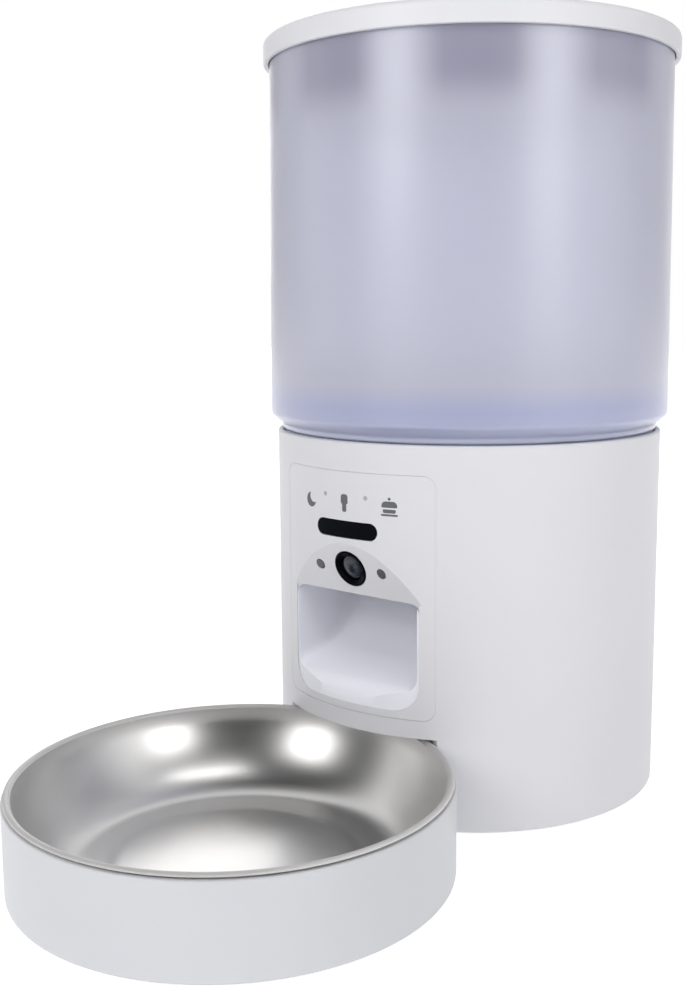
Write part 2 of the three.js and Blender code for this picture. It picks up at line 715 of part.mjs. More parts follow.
part('battery_contact_rear', plated, join(
  block(-stripHalfW, stripHalfW, stripRearY - contactThick, stripRearY, cellZ - cellR / 2, cellZ + cellR / 2),
  ...cellXs.map(x => turned([
    [0, cellFrontY + cellLength + seatGap], [cellNubR, cellFrontY + cellLength + seatGap],
    [2 * cellNubR, stripRearY - contactThick / 2], [0, stripRearY - contactThick / 2]], tinySteps,
  atPlace(x, 0, cellZ).multiply(new THREE.Matrix4().makeRotationX(-Math.PI / 2))))));

// Rubber feet and the screws of the bottom plate
footSpots.forEach(([x, y], i) => part(`foot_${i + 1}`, rubber, turned([
  [0, 0], [footR - footEdge, 0], [footR, footEdge], [footR, footTopZ - seatGap], [0, footTopZ - seatGap]],
smallSteps), body, [x, y, 0]));
const screwSeatZ = plateLift + baseScrewHeadH;
bossSpots.forEach(([x, y], i) => part(`base_screw_${i + 1}`, plated, turned([
  [0, plateLift], [baseScrewHeadR, plateLift], [baseScrewHeadR, screwSeatZ], [baseScrewR, screwSeatZ],
  [baseScrewR, plateLift + baseScrewLength], [0, plateLift + baseScrewLength]], tinySteps), body, [x, y, 0]));

// Rotor well hung from its deck, with the drop hole at the front and a boss for the gearbox
const motorScrewXs = [-screwRing, screwRing];
const wellBossZ = wellFootZ - wellBossH;
part('rotor_well', whiteInside, cut(
  turned([
    [wellBoreR, wellBossZ], [wellBossR, wellBossZ], [wellBossR, wellFootZ], [wellR + wellWall, wellFootZ],
    [wellR + wellWall, deckTopZ - deckThick], [liningR, deckTopZ - deckThick], [liningR, baseTopZ],
    [liningR - deckRimW, baseTopZ], [liningR - deckRimW, deckTopZ], [wellR, deckTopZ], [wellR, wellFloorZ],
    [wellBoreR, wellFloorZ]], roundSteps),
  pushedZ(frontSector(dropInnerR, dropOuterR, dropHalfAngle), wellFootZ - cutOver, wellFloorZ + cutOver),
  ...motorScrewXs.map(x => rod(motorScrewR + screwSlack, wellBossZ - cutOver, wellFloorZ + cutOver, tinySteps,
    atPlace(x, 0, 0)))));
part('outlet_baffle', silicone, pushedZ(
  frontSector(baffleInnerR, wellR + baffleLap, baffleHalfAngle), deckTopZ + seatGap,
  deckTopZ + seatGap + baffleThick));

// Metering rotor: hollow hub with vanes that sweep the well
const boreR = couplerR + seatGap;
const vaneHeight = rotorTopZ - rotorFootZ;
const vaneTurns = Array.from({ length: vanes }, (_, i) => new THREE.Matrix4().makeRotationZ(
  Math.PI / 2 + (i + 1 / 2) * 2 * Math.PI / vanes));
part('metering_rotor', rotorGreen, join(
  turned([
    [0, rotorTopZ], [hubR, rotorTopZ], [hubR, rotorFootZ], [hubR - hubWall, rotorFootZ],
    [hubR - hubWall, rotorTopZ - hubWall], [boreR + hubBoreWall, rotorTopZ - hubWall],
    [boreR + hubBoreWall, rotorFootZ], [boreR, rotorFootZ], [boreR, rotorTopZ - hubCrown],
    [0, rotorTopZ - hubCrown]],
  roundSteps),
  ...vaneTurns.map(turn => block(
    hubR - hubWall / 2, rotorR, -vaneThick / 2, vaneThick / 2, rotorFootZ, rotorFootZ + vaneHeight, turn))));

// Agitator on the rotor's hub: two arms above the baffle, with upright fingers
const armZ = deckTopZ + seatGap + baffleThick + agitatorHeadroom;
const agitatorFootZ = rotorTopZ + seatGap;
const agitatorArms = [0, Math.PI].map(angle => new THREE.Matrix4().makeRotationZ(angle));
part('agitator', rotorGreen, join(
  rod(agitatorHubR, agitatorFootZ, agitatorFootZ + agitatorHubH, smallSteps),
  ...agitatorArms.flatMap(turn => [
    block(0, agitatorReach, -agitatorArmW / 2, agitatorArmW / 2, armZ, armZ + agitatorArmH, turn),
    block(agitatorReach - agitatorFingerW, agitatorReach, -agitatorArmW / 2, agitatorArmW / 2, armZ,
      armZ + agitatorFingerH, turn)])));

// Drive coupler: output shaft in the gearbox, hexagon head in the rotor
const couplerFootZ = gearboxTopZ + seatGap;
part('drive_coupler', plated, join(
  rod(outputShaftR, couplerFootZ - outputShaftLength, couplerFootZ + seatGap, smallSteps),
  rod(couplerR, couplerFootZ, couplerFootZ + couplerHeight, couplerSides)));
part('gearbox', plated, cut(
  rod(gearboxR, gearboxTopZ - gearboxH, gearboxTopZ, roundSteps),
  rod(outputShaftR + seatGap, couplerFootZ - outputShaftLength - seatGap, gearboxTopZ + cutOver, smallSteps),
  ...motorScrewXs.map(x => rod(
    motorScrewR + screwSlack, wellFloorZ - motorScrewLength - seatGap, gearboxTopZ + cutOver, tinySteps,
    atPlace(x, 0, 0)))));
part('motor', plated, turned([
  [0, motorTopZ], [motorR, motorTopZ], [motorR, motorTopZ - motorH + motorEdge],
  [motorR - motorEdge, motorTopZ - motorH], [motorTailR, motorTopZ - motorH],
  [motorTailR, motorTopZ - motorH - motorTailH], [0, motorTopZ - motorH - motorTailH]], smallSteps));
motorScrewXs.forEach((x, i) => part(`motor_screw_${i + 1}`, plated, turned([
  [0, wellFloorZ + seatGap + motorScrewHeadH], [motorScrewHeadR, wellFloorZ + seatGap + motorScrewHeadH],
  [motorScrewHeadR, wellFloorZ + seatGap], [motorScrewR, wellFloorZ + seatGap],
  [motorScrewR, wellFloorZ - motorScrewLength], [0, wellFloorZ - motorScrewLength]],
tinySteps), body, [x, 0, 0]));

// Main board standing in its posts, speaker behind the grille, and the power inlet low at the rear
const mainBoardFootZ = bayTopZ + bayWall + seatGap;
const boardHeart = mainBoardFootZ + mainBoardH / 2;
const chipRearY = mainBoardY + boardThick / 2;
part('main_board', circuit, join(
  block(-mainBoardHalfW, mainBoardHalfW, mainBoardY, mainBoardY + boardThick, mainBoardFootZ,
    mainBoardFootZ + mainBoardH),
  block(-chipSide / 2, chipSide / 2, mainBoardY - chipThick, chipRearY, boardHeart - chipSide / 2,
    boardHeart + chipSide / 2),
  block(-2 * chipSide, -chipSide, mainBoardY - chipThick, chipRearY, boardHeart, boardHeart + chipSide),
  ...[1, 2].map(i => throughPanel(
    i * mainBoardHalfW / capSpots, boardHeart, capR, mainBoardY - capH, chipRearY))));
const speakerFrontY = Math.sqrt(baseInR ** 2 - speakerR ** 2) - seatGap;
part('speaker', smoked, turned([
  [0, -speakerFrontY], [speakerR, -speakerFrontY], [speakerR, speakerRimDeep - speakerFrontY],
  [speakerMagnetR, speakerRimDeep - speakerFrontY], [speakerMagnetR, speakerDeep - speakerFrontY],
  [0, speakerDeep - speakerFrontY]], smallSteps,
atPlace(0, 0, speakerZ).multiply(new THREE.Matrix4().makeRotationX(Math.PI / 2))));
const inletFaceY = Math.sqrt(baseR ** 2 - inletHalfW ** 2) - inletSink;
part('power_inlet', smoked, join(
  cut(
    block(
      -inletHalfW, inletHalfW, inletFaceY - inletDeep, inletFaceY, inletZ - inletHalfH,
      inletZ + inletHalfH),
    pushedY(
      roundedPanel(
        inletSlotHalfW, inletZ - inletSlotHalfH, inletZ + inletSlotHalfH, inletSlotHalfH, inletSlotHalfH),
      inletFaceY - inletSlotDeep, inletFaceY + cutOver)),
  block(-inletTongueHalfW, inletTongueHalfW, inletFaceY - inletDeep + seatGap, inletFaceY - inletSink,
    inletZ - inletTongueHalfH, inletZ + inletTongueHalfH)));

// Tank shell: narrow neck on the base, taper, and a tall wall with a slight draft
const tankWallPath = [
  [tankNeckR, tankFootZ], [tankNeckR, tankFootZ + tankNeckH], [tankFootR, tankFootZ + tankNeckH + tankTaperH],
  [tankTopR, tankTopZ]];
const tankInner = offsetPath(tankWallPath, -tankWall).map(
  ([r, z]) => [r, clamp(z, tankFootZ, tankTopZ)]);
part('tank_shell', frosted, turned([...tankWallPath, ...tankInner.toReversed()]));

// Tank funnel: cone down to the throat, with a skirt that locates the tank inside the deck rim
const [kneeR, kneeZ] = tankInner[2];
const tankInRAt = z => mapLinear(z, kneeZ, tankTopZ, kneeR, tankInR);
const throatZ = baseTopZ + throatLipH;
const funnelTopR = tankInRAt(throatZ + funnelRise) - seatGap;
const funnelSlope = funnelRise / (funnelTopR - throatR);
const coneZ = r => throatZ + (r - throatR) * funnelSlope;
const funnelUnder = funnelWall * Math.hypot(1, funnelSlope);
const funnelSkirtR = liningR - deckRimW - funnelSkirtGap;
const funnelSkirtInR = funnelSkirtR - funnelSkirtWall;
const funnelLipR = throatR + funnelWall;
const rimFootZ = Math.max(coneZ(funnelTopR) - funnelUnder, kneeZ);
part('tank_funnel', frosted, turned([
  [throatR, tankFootZ], [funnelLipR, tankFootZ], [funnelLipR, coneZ(funnelLipR) - funnelUnder],
  [funnelSkirtInR, coneZ(funnelSkirtInR) - funnelUnder], [funnelSkirtInR, baseTopZ - funnelSkirtDip],
  [funnelSkirtR, baseTopZ - funnelSkirtDip], [funnelSkirtR, coneZ(funnelSkirtR) - funnelUnder],
  [funnelTopR, rimFootZ], [funnelTopR, coneZ(funnelTopR)], [throatR, throatZ]], roundSteps));

// Lid: flat top with a rounded rim outside the tank and a skirt inside it
const lidInZ = lidTopZ - lidPlate;
const lidArc = Array.from({ length: cornerSteps + 1 }, (_, i) => {
  const angle = Math.PI / 2 * i / cornerSteps;
  return [lidR - lidEdge + lidEdge * Math.cos(angle), lidTopZ - lidEdge + lidEdge * Math.sin(angle)];
});
part('lid', whiteShell, turned([
  [0, lidInZ], [skirtR - skirtWall, lidInZ], [skirtR - skirtWall, skirtFootZ], [skirtR, skirtFootZ],
  [skirtR, lidInZ],
  [lidR - lidRimWall, lidInZ], [lidR - lidRimWall, lidFootZ], [lidR, lidFootZ], ...lidArc, [0, lidTopZ]]));

// Lid seal: silicone ring with two lips, between the skirt and the tank wall
const sealR = tankInRAt(sealFootZ + sealH) - seatGap;
const sealMid = sealFootZ + sealH / 2;
part('lid_seal', silicone, turned([
  [skirtR + seatGap, sealFootZ], [sealR, sealFootZ], [sealR, sealMid - sealGroove / 2],
  [sealR - sealGrooveDeep, sealMid - sealGroove / 2], [sealR - sealGrooveDeep, sealMid + sealGroove / 2],
  [sealR, sealMid + sealGroove / 2], [sealR, sealFootZ + sealH], [skirtR + seatGap, sealFootZ + sealH]],
roundSteps));

// Desiccant box under the lid, with a sachet in it and a slotted cap that twists
const dryTopZ = lidInZ - seatGap;
const dryFootZ = dryTopZ - dryBoxH;
const dryInR = dryBoxR - dryBoxWall;
part('desiccant_box', whiteInside, turned([
  [0, dryTopZ], [dryBoxR, dryTopZ], [dryBoxR, dryFootZ], [dryInR, dryFootZ], [dryInR, dryTopZ - dryBoxWall],
  [0, dryTopZ - dryBoxWall]], roundSteps));
const dryCapTopZ = dryFootZ - seatGap;
const collarR = dryInR - seatGap;
const collarInR = collarR - dryBoxWall;
const capSlots = Array.from({ length: dryCapSlots }, (_, i) => block(
  dryCapSlotInnerR, drySachetR, -dryCapSlotW / 2, dryCapSlotW / 2, dryCapTopZ - dryCapThick - cutOver,
  dryCapTopZ + cutOver, new THREE.Matrix4().makeRotationZ(i * 2 * Math.PI / dryCapSlots)));
part('desiccant_cap', whiteShell, cut(turned([
  [0, dryCapTopZ - dryCapThick], [dryBoxR + dryCapLap, dryCapTopZ - dryCapThick],
  [dryBoxR + dryCapLap, dryCapTopZ],
  [collarR, dryCapTopZ], [collarR, dryCapTopZ + dryCapCollarH], [collarInR, dryCapTopZ + dryCapCollarH],
  [collarInR, dryCapTopZ], [0, dryCapTopZ]], roundSteps), ...capSlots));
const sachetZ = dryCapTopZ + seatGap;
part('desiccant_sachet', sachet, turned([
  [0, sachetZ], [drySachetR - drySachetEdge, sachetZ], [drySachetR, sachetZ + drySachetH / 2],
  [drySachetR - drySachetEdge, sachetZ + drySachetH], [0, sachetZ + drySachetH]], smallSteps));

// Bowl tray: round cup with a softened foot edge, on rubber pads
const trayFloorZ = trayLift + trayFloor;
const trayPadTop = trayLift + trayPadSink;
const padSpots = Array.from(
  { length: trayPads }, (_, i) => onRing(trayPadRing, (i + 1 / 2) * 2 * Math.PI / trayPads));
part('bowl_tray', whiteShell, cut(
  turned([
    [0, trayLift], [trayR - trayFootEdge, trayLift], [trayR, trayLift + trayFootEdge], [trayR, trayTopZ],
    [trayR - trayWall, trayTopZ], [trayR - trayWall, trayFloorZ], [0, trayFloorZ]]),
  ...padSpots.map(([x, y]) => rod(
    trayPadR + seatGap, trayLift - cutOver, trayPadTop, smallSteps, atPlace(x, y, 0)))),
tray);
padSpots.forEach(([x, y], i) => part(
  `tray_pad_${i + 1}`, rubber, rod(trayPadR, 0, trayPadTop - seatGap, smallSteps), tray, [x, y, 0]));

// Steel bowl: raised disc, ring floor, swept wall and rolled rim, pressed from one sheet
const wallCurve = new THREE.CubicBezierCurve(
  new THREE.Vector2(bowlFloorR, bowlFloorZ),
  new THREE.Vector2(lerp(bowlFloorR, bowlWallTopR, 2 * bowlWallPullShare), bowlFloorZ),
  new THREE.Vector2(bowlWallTopR, lerp(bowlRimZ, bowlFloorZ, bowlWallPullShare)),
  new THREE.Vector2(bowlWallTopR, bowlRimZ - bowlLipR));
const bowlWall = wallCurve.getPoints(bowlWallSteps).map(p => [p.x, p.y]);
const lipMidR = bowlRimR - bowlLipR;
const bowlInside = [
  [0, bowlFloorZ + bowlDiscRise + bowlDomeRise],
  [bowlDiscR / 2, bowlFloorZ + bowlDiscRise + bowlDomeRise * bowlDomeMidShare],
  [bowlDiscR, bowlFloorZ + bowlDiscRise], [bowlDiscR + 2 * bowlDiscRise, bowlFloorZ], ...bowlWall,
  [lipMidR - bowlLipR * Math.SQRT1_2, bowlRimZ - bowlLipR + bowlLipR * Math.SQRT1_2], [lipMidR, bowlRimZ],
  [lipMidR + bowlLipR * Math.SQRT1_2, bowlRimZ - bowlLipR + bowlLipR * Math.SQRT1_2],
  [bowlRimR, bowlRimZ - bowlLipR]];
const bowlOutside = offsetPath(bowlInside, bowlSheet).map(([r, z]) => [Math.max(r, 0), z]);
part('steel_bowl', steel, turned([...bowlInside, ...bowlOutside.toReversed()], roundSteps), tray);

export default model;
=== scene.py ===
import bmesh
import bpy
import json
import math
from mathutils import Matrix, Vector
from mathutils.geometry import interpolate_bezier


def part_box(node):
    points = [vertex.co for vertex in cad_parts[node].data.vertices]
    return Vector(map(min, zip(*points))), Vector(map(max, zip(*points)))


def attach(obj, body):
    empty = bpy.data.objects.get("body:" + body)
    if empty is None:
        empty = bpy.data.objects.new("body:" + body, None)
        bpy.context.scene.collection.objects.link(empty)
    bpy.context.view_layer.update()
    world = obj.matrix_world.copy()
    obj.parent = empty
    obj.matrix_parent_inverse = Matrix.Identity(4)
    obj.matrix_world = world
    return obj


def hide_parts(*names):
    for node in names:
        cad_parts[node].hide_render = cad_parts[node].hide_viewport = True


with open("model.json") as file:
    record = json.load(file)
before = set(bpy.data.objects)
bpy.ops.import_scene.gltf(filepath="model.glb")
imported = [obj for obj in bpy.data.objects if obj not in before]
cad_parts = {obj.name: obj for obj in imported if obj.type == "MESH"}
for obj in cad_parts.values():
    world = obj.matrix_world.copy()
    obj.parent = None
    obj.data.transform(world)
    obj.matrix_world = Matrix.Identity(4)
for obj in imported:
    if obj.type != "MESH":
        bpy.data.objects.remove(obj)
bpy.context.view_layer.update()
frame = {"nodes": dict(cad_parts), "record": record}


# Base housing. One round casing moulded in white ABS, open at the foot, with a notch that the
# bowl tray nests in and a window for the front panel. The rear has a slotted grille for the
# speaker and a small window for the power inlet.
fine_steps = 240
sharp_angle = math.radians(32)
tiny = 0.000001
housing_low, housing_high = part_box("base_housing")
tray_low, tray_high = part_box("bowl_tray")
panel_low, panel_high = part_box("front_panel")
body_axis = Vector(((housing_low.x + housing_high.x) / 2, (housing_low.y + housing_high.y) / 2, 0))
tray_axis = Vector(((tray_low.x + tray_high.x) / 2, (tray_low.y + tray_high.y) / 2, 0))
housing_radius = (housing_high.x - housing_low.x) / 2
housing_wall = 0.0026
housing_top_round = 0.0009
housing_foot_round = 0.0006
notch_gap = 0.0008
dock_wall = 0.002
panel_seam = 0.00011
panel_corner = 0.005
panel_front = body_axis.y - housing_radius
window_depth = 0.02
over = 0.003
grille_slots = 5
grille_pitch = 0.0045
grille_slot_width = 0.002
grille_slot_height = 0.02
inlet_gap = 0.0003
plate_top = 0.0063
noise_middle = 0.5


def tone(red, green, blue):
    """A colour written as it shows, from 0 to 255, as the linear values that a shader takes."""
    parts = [value / 255 for value in (red, green, blue)]
    return (*[p / 12.92 if p <= 0.04045 else ((p + 0.055) / 1.055) ** 2.4 for p in parts], 1)


def effect_group(name, inputs, outputs):
    """An empty node group with its sockets, and its entry and exit nodes."""
    group = bpy.data.node_groups.new(name, "ShaderNodeTree")
    for way, sockets in (("INPUT", inputs), ("OUTPUT", outputs)):
        for word, kind in sockets:
            group.interface.new_socket(name=word, in_out=way, socket_type=kind)
    entry = group.nodes.new("NodeGroupInput")
    leave = group.nodes.new("NodeGroupOutput")
    return group, entry, leave


def added(tree, kind, values=(), **settings):
    """A shader node with its settings, and the values of its inputs by word or number."""
    node = tree.nodes.new(f"ShaderNode{kind}")
    for word, setting in settings.items():
        setattr(node, word, setting)
    for socket, value in dict(values).items():
        node.inputs[socket].default_value = value
    return node


def wired(tree, *joins):
    """Links an output to an input, each given as a node and its socket."""
    for source, way_out, target, way_in in joins:
        tree.links.new(source.outputs[way_out], target.inputs[way_in])


def shader_of(material, values=()):
    """The shader of a material, with values of its own for some inputs."""
    shader = material.node_tree.nodes["Principled BSDF"]
    for socket, value in dict(values).items():
        shader.inputs[socket].default_value = value
    return shader


def moulded_surface():
    """Slow drift of tone and gloss over a moulding, and the fine grain of its mould."""
    group, entry, leave = effect_group(
        "moulded_surface",
        [("Colour", "NodeSocketColor"), ("Drift colour", "NodeSocketColor"),
         ("Drift scale", "NodeSocketFloat"), ("Grain scale", "NodeSocketFloat"),
         ("Roughness", "NodeSocketFloat"), ("Roughness drift", "NodeSocketFloat")],
        [("Colour", "NodeSocketColor"), ("Roughness", "NodeSocketFloat"),
         ("Height", "NodeSocketFloat")])
    place = added(group, "TexCoord")
    drift = added(group, "TexNoise")
    grain = added(group, "TexNoise")
    blend = added(group, "Mix", data_type="RGBA")
    centred = added(group, "Math", {1: noise_middle}, operation="SUBTRACT")
    spread = added(group, "Math", operation="MULTIPLY_ADD")
    wired(
        group, (place, "Object", drift, "Vector"), (entry, "Drift scale", drift, "Scale"),
        (place, "Object", grain, "Vector"), (entry, "Grain scale", grain, "Scale"),
        (drift, "Fac", blend, "Factor"), (entry, "Colour", blend, "A"),
        (entry, "Drift colour", blend, "B"), (drift, "Fac", centred, 0),
        (centred, 0, spread, 0), (entry, "Roughness drift", spread, 1),
        (entry, "Roughness", spread, 2), (blend, "Result", leave, "Colour"),
        (spread, 0, leave, "Roughness"), (grain, "Fac", leave, "Height"))
    return group


moulded_group = moulded_surface()


def surfaced(name, group, values, depth):
    """A material whose shader takes what changes over its surface from an effect group."""
    material = bpy.data.materials.new(name)
    material.use_nodes = True
    tree = material.node_tree
    shader = shader_of(material)
    surface = added(tree, "Group", values, node_tree=group)
    bump = added(tree, "Bump", {"Distance": depth})
    wired(tree, (surface, "Roughness", shader, "Roughness"),
          (surface, "Height", bump, "Height"), (bump, "Normal", shader, "Normal"))
    if "Colour" in surface.outputs:
        wired(tree, (surface, "Colour", shader, "Base Color"))
    return material


def moulding(name, colour, drift_colour, roughness, grain_scale=1400, grain_depth=0.00002,
             drift_scale=14, roughness_drift=0.12):
    """A moulded plastic or rubber finish."""
    return surfaced(name, moulded_group, {
        "Colour": tone(*colour), "Drift colour": tone(*drift_colour),
        "Drift scale": drift_scale, "Grain scale": grain_scale,
        "Roughness": roughness, "Roughness drift": roughness_drift}, grain_depth)


def turned(points, axis, closed, steps=fine_steps):
    """Outline of [radius, height] points turned round an upright axis."""
    bm = bmesh.new()
    verts = [bm.verts.new((axis.x + radius, axis.y, height)) for radius, height in points]
    ends = verts[1:] + verts[:1] if closed else verts[1:]
    edges = [bm.edges.new(pair) for pair in zip(verts, ends)]
    bmesh.ops.spin(
        bm, geom=verts + edges, cent=(axis.x, axis.y, 0), axis=(0, 0, 1), angle=2 * math.pi,
        steps=steps, use_merge=True)
    bmesh.ops.remove_doubles(bm, verts=bm.verts, dist=tiny)
    bmesh.ops.recalc_face_normals(bm, faces=bm.faces)
    return bm


def rounded(bm, width, segments=3, where=lambda edge: True):
    """Rounds the sharp edges that a test picks."""
    sharp = [
        edge for edge in bm.edges
        if edge.is_manifold and edge.calc_face_angle() > sharp_angle and where(edge)]
    bmesh.ops.bevel(
        bm, geom=sharp, offset=width, offset_type="OFFSET", segments=segments, profile=0.5,
        affect="EDGES", material=-1)
    return bm


def edge_height(edge):
    return (edge.verts[0].co.z + edge.verts[1].co.z) / 2


def edge_radius(edge, axis):
    middle = (edge.verts[0].co + edge.verts[1].co) / 2
    return math.hypot(middle.x - axis.x, middle.y - axis.y)


def pushed(bm, way):
    """Makes a flat outline a solid that runs along a vector."""
    grown = bmesh.ops.extrude_face_region(bm, geom=bm.faces[:])
    moved = [item for item in grown["geom"] if isinstance(item, bmesh.types.BMVert)]
    bmesh.ops.translate(bm, verts=moved, vec=way)
    bmesh.ops.remove_doubles(bm, verts=bm.verts, dist=tiny)
    bmesh.ops.recalc_face_normals(bm, faces=bm.faces)
    return bm


def plate(half_width, foot, head, foot_round, head_round, front, depth, middle=0.0):
    """Upright plate with its own rounding at the foot and at the head corners."""
    bm = bmesh.new()
    spots = ((-half_width, foot), (half_width, foot), (half_width, head), (-half_width, head))
    corners = [bm.verts.new((middle + x, front, z)) for x, z in spots]
    bm.faces.new(corners)
    for pair, radius in ((corners[:2], foot_round), (corners[2:], head_round)):
        if radius > 0:
            bmesh.ops.bevel(
                bm, geom=pair, offset=radius, segments=8, profile=0.5, affect="VERTICES",
                material=-1)
    return pushed(bm, (0, depth, 0))


def peg(radius, low, high, place, steps=48):
    """Round bar along its own Z, set by a placing matrix."""
    bm = bmesh.new()
    middle = Matrix.Translation((0, 0, (low + high) / 2))
    bmesh.ops.create_cone(
        bm, cap_ends=True, segments=steps, radius1=radius, radius2=radius, depth=high - low,
        matrix=place @ middle)
    return bm


def gathered(*meshes):
    """Several meshes as one."""
    whole = bmesh.new()
    for bm in meshes:
        loose = bpy.data.meshes.new("loose")
        bm.to_mesh(loose)
        bm.free()
        whole.from_mesh(loose)
        bpy.data.meshes.remove(loose)
    return whole


def carved(bm, tool, operation="DIFFERENCE"):
    """Cuts one mesh with another, joins them, or keeps what they share."""
    blank, cutter = [
        bpy.data.objects.new(name, bpy.data.meshes.new(name)) for name in ("blank", "cutter")]
    for holder, made in ((blank, bm), (cutter, tool)):
        made.to_mesh(holder.data)
        made.free()
        bpy.context.scene.collection.objects.link(holder)
    step = blank.modifiers.new("carve", "BOOLEAN")
    step.operation = operation
    step.solver = "EXACT"
    step.object = cutter
    shaped = blank.evaluated_get(bpy.context.evaluated_depsgraph_get())
    result = bmesh.new()
    result.from_mesh(shaped.to_mesh())
    shaped.to_mesh_clear()
    for holder in (blank, cutter):
        loose = holder.data
        bpy.data.objects.remove(holder)
        bpy.data.meshes.remove(loose)
    bmesh.ops.remove_doubles(result, verts=result.verts, dist=tiny)
    return result


def make_piece(name, bm, material):
    """An object at the origin, smooth up to its sharp edges."""
    mesh = bpy.data.meshes.new(name)
    bm.to_mesh(mesh)
    bm.free()
    mesh.materials.append(material)
    mesh.shade_smooth()
    mesh.set_sharp_from_angle(angle=sharp_angle)
    piece = bpy.data.objects.new(name, mesh)
    bpy.context.scene.collection.objects.link(piece)
    even = piece.modifiers.new("even_shading", "WEIGHTED_NORMAL")
    even.keep_sharp = True
    return piece


white_shell = moulding("white_shell", (223, 223, 227), (218, 218, 223), roughness=0.42)
shader_of(white_shell, {"Specular IOR Level": 0.45})

housing_mesh = turned(
    [(housing_radius - housing_wall, housing_low.z), (housing_radius, housing_low.z),
     (housing_radius, housing_high.z), (housing_radius - housing_wall, housing_high.z)],
    body_axis, closed=True)
rounded(housing_mesh, housing_top_round, where=lambda e: edge_height(e) > housing_high.z - tiny)
rounded(housing_mesh, housing_foot_round, where=lambda e: edge_height(e) < housing_low.z + tiny)
notch_radius = (tray_high.x - tray_low.x) / 2 + notch_gap
notch_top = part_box("tray_dock")[1].z - dock_wall
boss_radius = 0.0058
boss_height = 0.022
bosses = []
for number in range(1, 5):
    screw_low, screw_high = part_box(f"base_screw_{number}")
    spot = Matrix.Translation(((screw_low.x + screw_high.x) / 2,
                               (screw_low.y + screw_high.y) / 2, 0))
    bosses.append(peg(boss_radius, plate_top, plate_top + boss_height, spot, steps=24))
housing_mesh = carved(housing_mesh, carved(gathered(*bosses), peg(
    housing_radius - housing_wall / 2, 0, housing_high.z, Matrix.Translation(body_axis),
    fine_steps), "INTERSECT"), "UNION")
speaker_low, speaker_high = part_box("speaker")
inlet_low, inlet_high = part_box("power_inlet")
grille_middle = (speaker_low.z + speaker_high.z) / 2
housing_rear = housing_high.y
slots = [
    plate(grille_slot_width / 2, grille_middle - grille_slot_height / 2,
          grille_middle + grille_slot_height / 2, grille_slot_width / 2, grille_slot_width / 2,
          housing_rear - window_depth, window_depth + over,
          (number - (grille_slots - 1) / 2) * grille_pitch)
    for number in range(grille_slots)]
housing_mesh = carved(housing_mesh, gathered(
    peg(notch_radius, -over, notch_top, Matrix.Translation(tray_axis), fine_steps),
    plate(panel_high.x + panel_seam, panel_low.z - panel_seam, panel_high.z + panel_seam,
          panel_corner, panel_corner, panel_front - over, window_depth),
    plate(inlet_high.x + inlet_gap, inlet_low.z - inlet_gap, inlet_high.z + inlet_gap,
          inlet_gap, inlet_gap, housing_rear - window_depth, window_depth + over),
    *slots))
housing = make_piece("base_housing_shell", housing_mesh, white_shell)
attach(housing, "base")
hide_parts("base_housing")


# Front panel. A white ABS insert, curved to match the casing and snapped into its window. Above
# the food outlet it is cut back to a flat facet that leans outwards and carries the camera.
facet_tilt = math.radians(18)
facet_top = 0.1164
facet_half_width = 0.036
facet_wall = 0.0024
facet_overlap = 0.004
camera_height = 0.1054
outlet_half_width = 0.033
outlet_foot = 0.05
outlet_head = 0.0943
outlet_foot_round = 0.011
outlet_head_round = 0.0045
display_half_width = 0.016
display_half_height = 0.0036
display_height = 0.1223
status_x = 0.0106
status_height = 0.136
status_radius = 0.00085
status_gap = 0.00008
ir_light_x = 0.0163
ir_light_radius = 0.002
bezel_radius = 0.0078
hole_gap = 0.0003
panel_round = 0.00015
panel_fit = 0.00006
panel_sharp_angle = math.radians(9)
skin_sink = 0.0004
outer_skin = housing_radius - skin_sink
bed_overlap = 0.0002

camera_set_back = (facet_top - camera_height) * math.tan(facet_tilt)
on_facet = (Matrix.Translation((body_axis.x, panel_front + camera_set_back, camera_height))
            @ Matrix.Rotation(math.pi / 2 + facet_tilt, 4, "X"))


def brick(low, high, place=Matrix.Identity(4)):
    """Straight block between two corners, set by a placing matrix."""
    low, high = Vector(low), Vector(high)
    bm = bmesh.new()
    size = Matrix.Diagonal((*(high - low), 1))
    bmesh.ops.create_cube(
        bm, size=1, matrix=place @ Matrix.Translation((low + high) / 2) @ size)
    return bm


def through_panel(x, z, radius):
    """Round hole through the panel from the front."""
    turn = Matrix.Rotation(math.pi / 2, 4, "X")
    return peg(radius, -window_depth, over, Matrix.Translation((x, panel_front, z)) @ turn)


def panel_band(inner, outer):
    """Ring of the casing's curve between two radii, as high as the panel."""
    return turned(
        [(inner, panel_low.z), (outer, panel_low.z), (outer, panel_high.z), (inner, panel_high.z)],
        body_axis, closed=True)


facet_down = (camera_height - outlet_foot) / math.cos(facet_tilt)
facet_up = (facet_top - camera_height) / math.cos(facet_tilt) + facet_overlap
facet_bed = carved(
    brick((-facet_half_width - bed_overlap, -facet_down, -facet_wall),
          (facet_half_width + bed_overlap, facet_up, bed_overlap), on_facet),
    peg(housing_radius - bed_overlap, outlet_head - hole_gap, panel_high.z,
        Matrix.Translation(body_axis), fine_steps), "INTERSECT")
panel_mesh = carved(
    panel_band(housing_radius - housing_wall, housing_radius),
    plate(panel_high.x + panel_fit, panel_low.z - panel_fit, panel_high.z + panel_fit,
          panel_corner, panel_corner, panel_front - over, window_depth), "INTERSECT")
rounded(panel_mesh, panel_round, segments=2,
        where=lambda e: edge_radius(e, body_axis) > outer_skin)
panel_mesh = carved(panel_mesh, facet_bed, "UNION")
for half_width, foot in ((facet_half_width, outlet_head),
                         (outlet_half_width, outlet_head - outlet_head_round)):
    panel_mesh = carved(panel_mesh, carved(
        brick((-half_width, -facet_down, 0), (half_width, facet_up, window_depth), on_facet),
        brick((-housing_radius, panel_front - over, foot),
              (housing_radius, body_axis.y, panel_high.z)), "INTERSECT"))
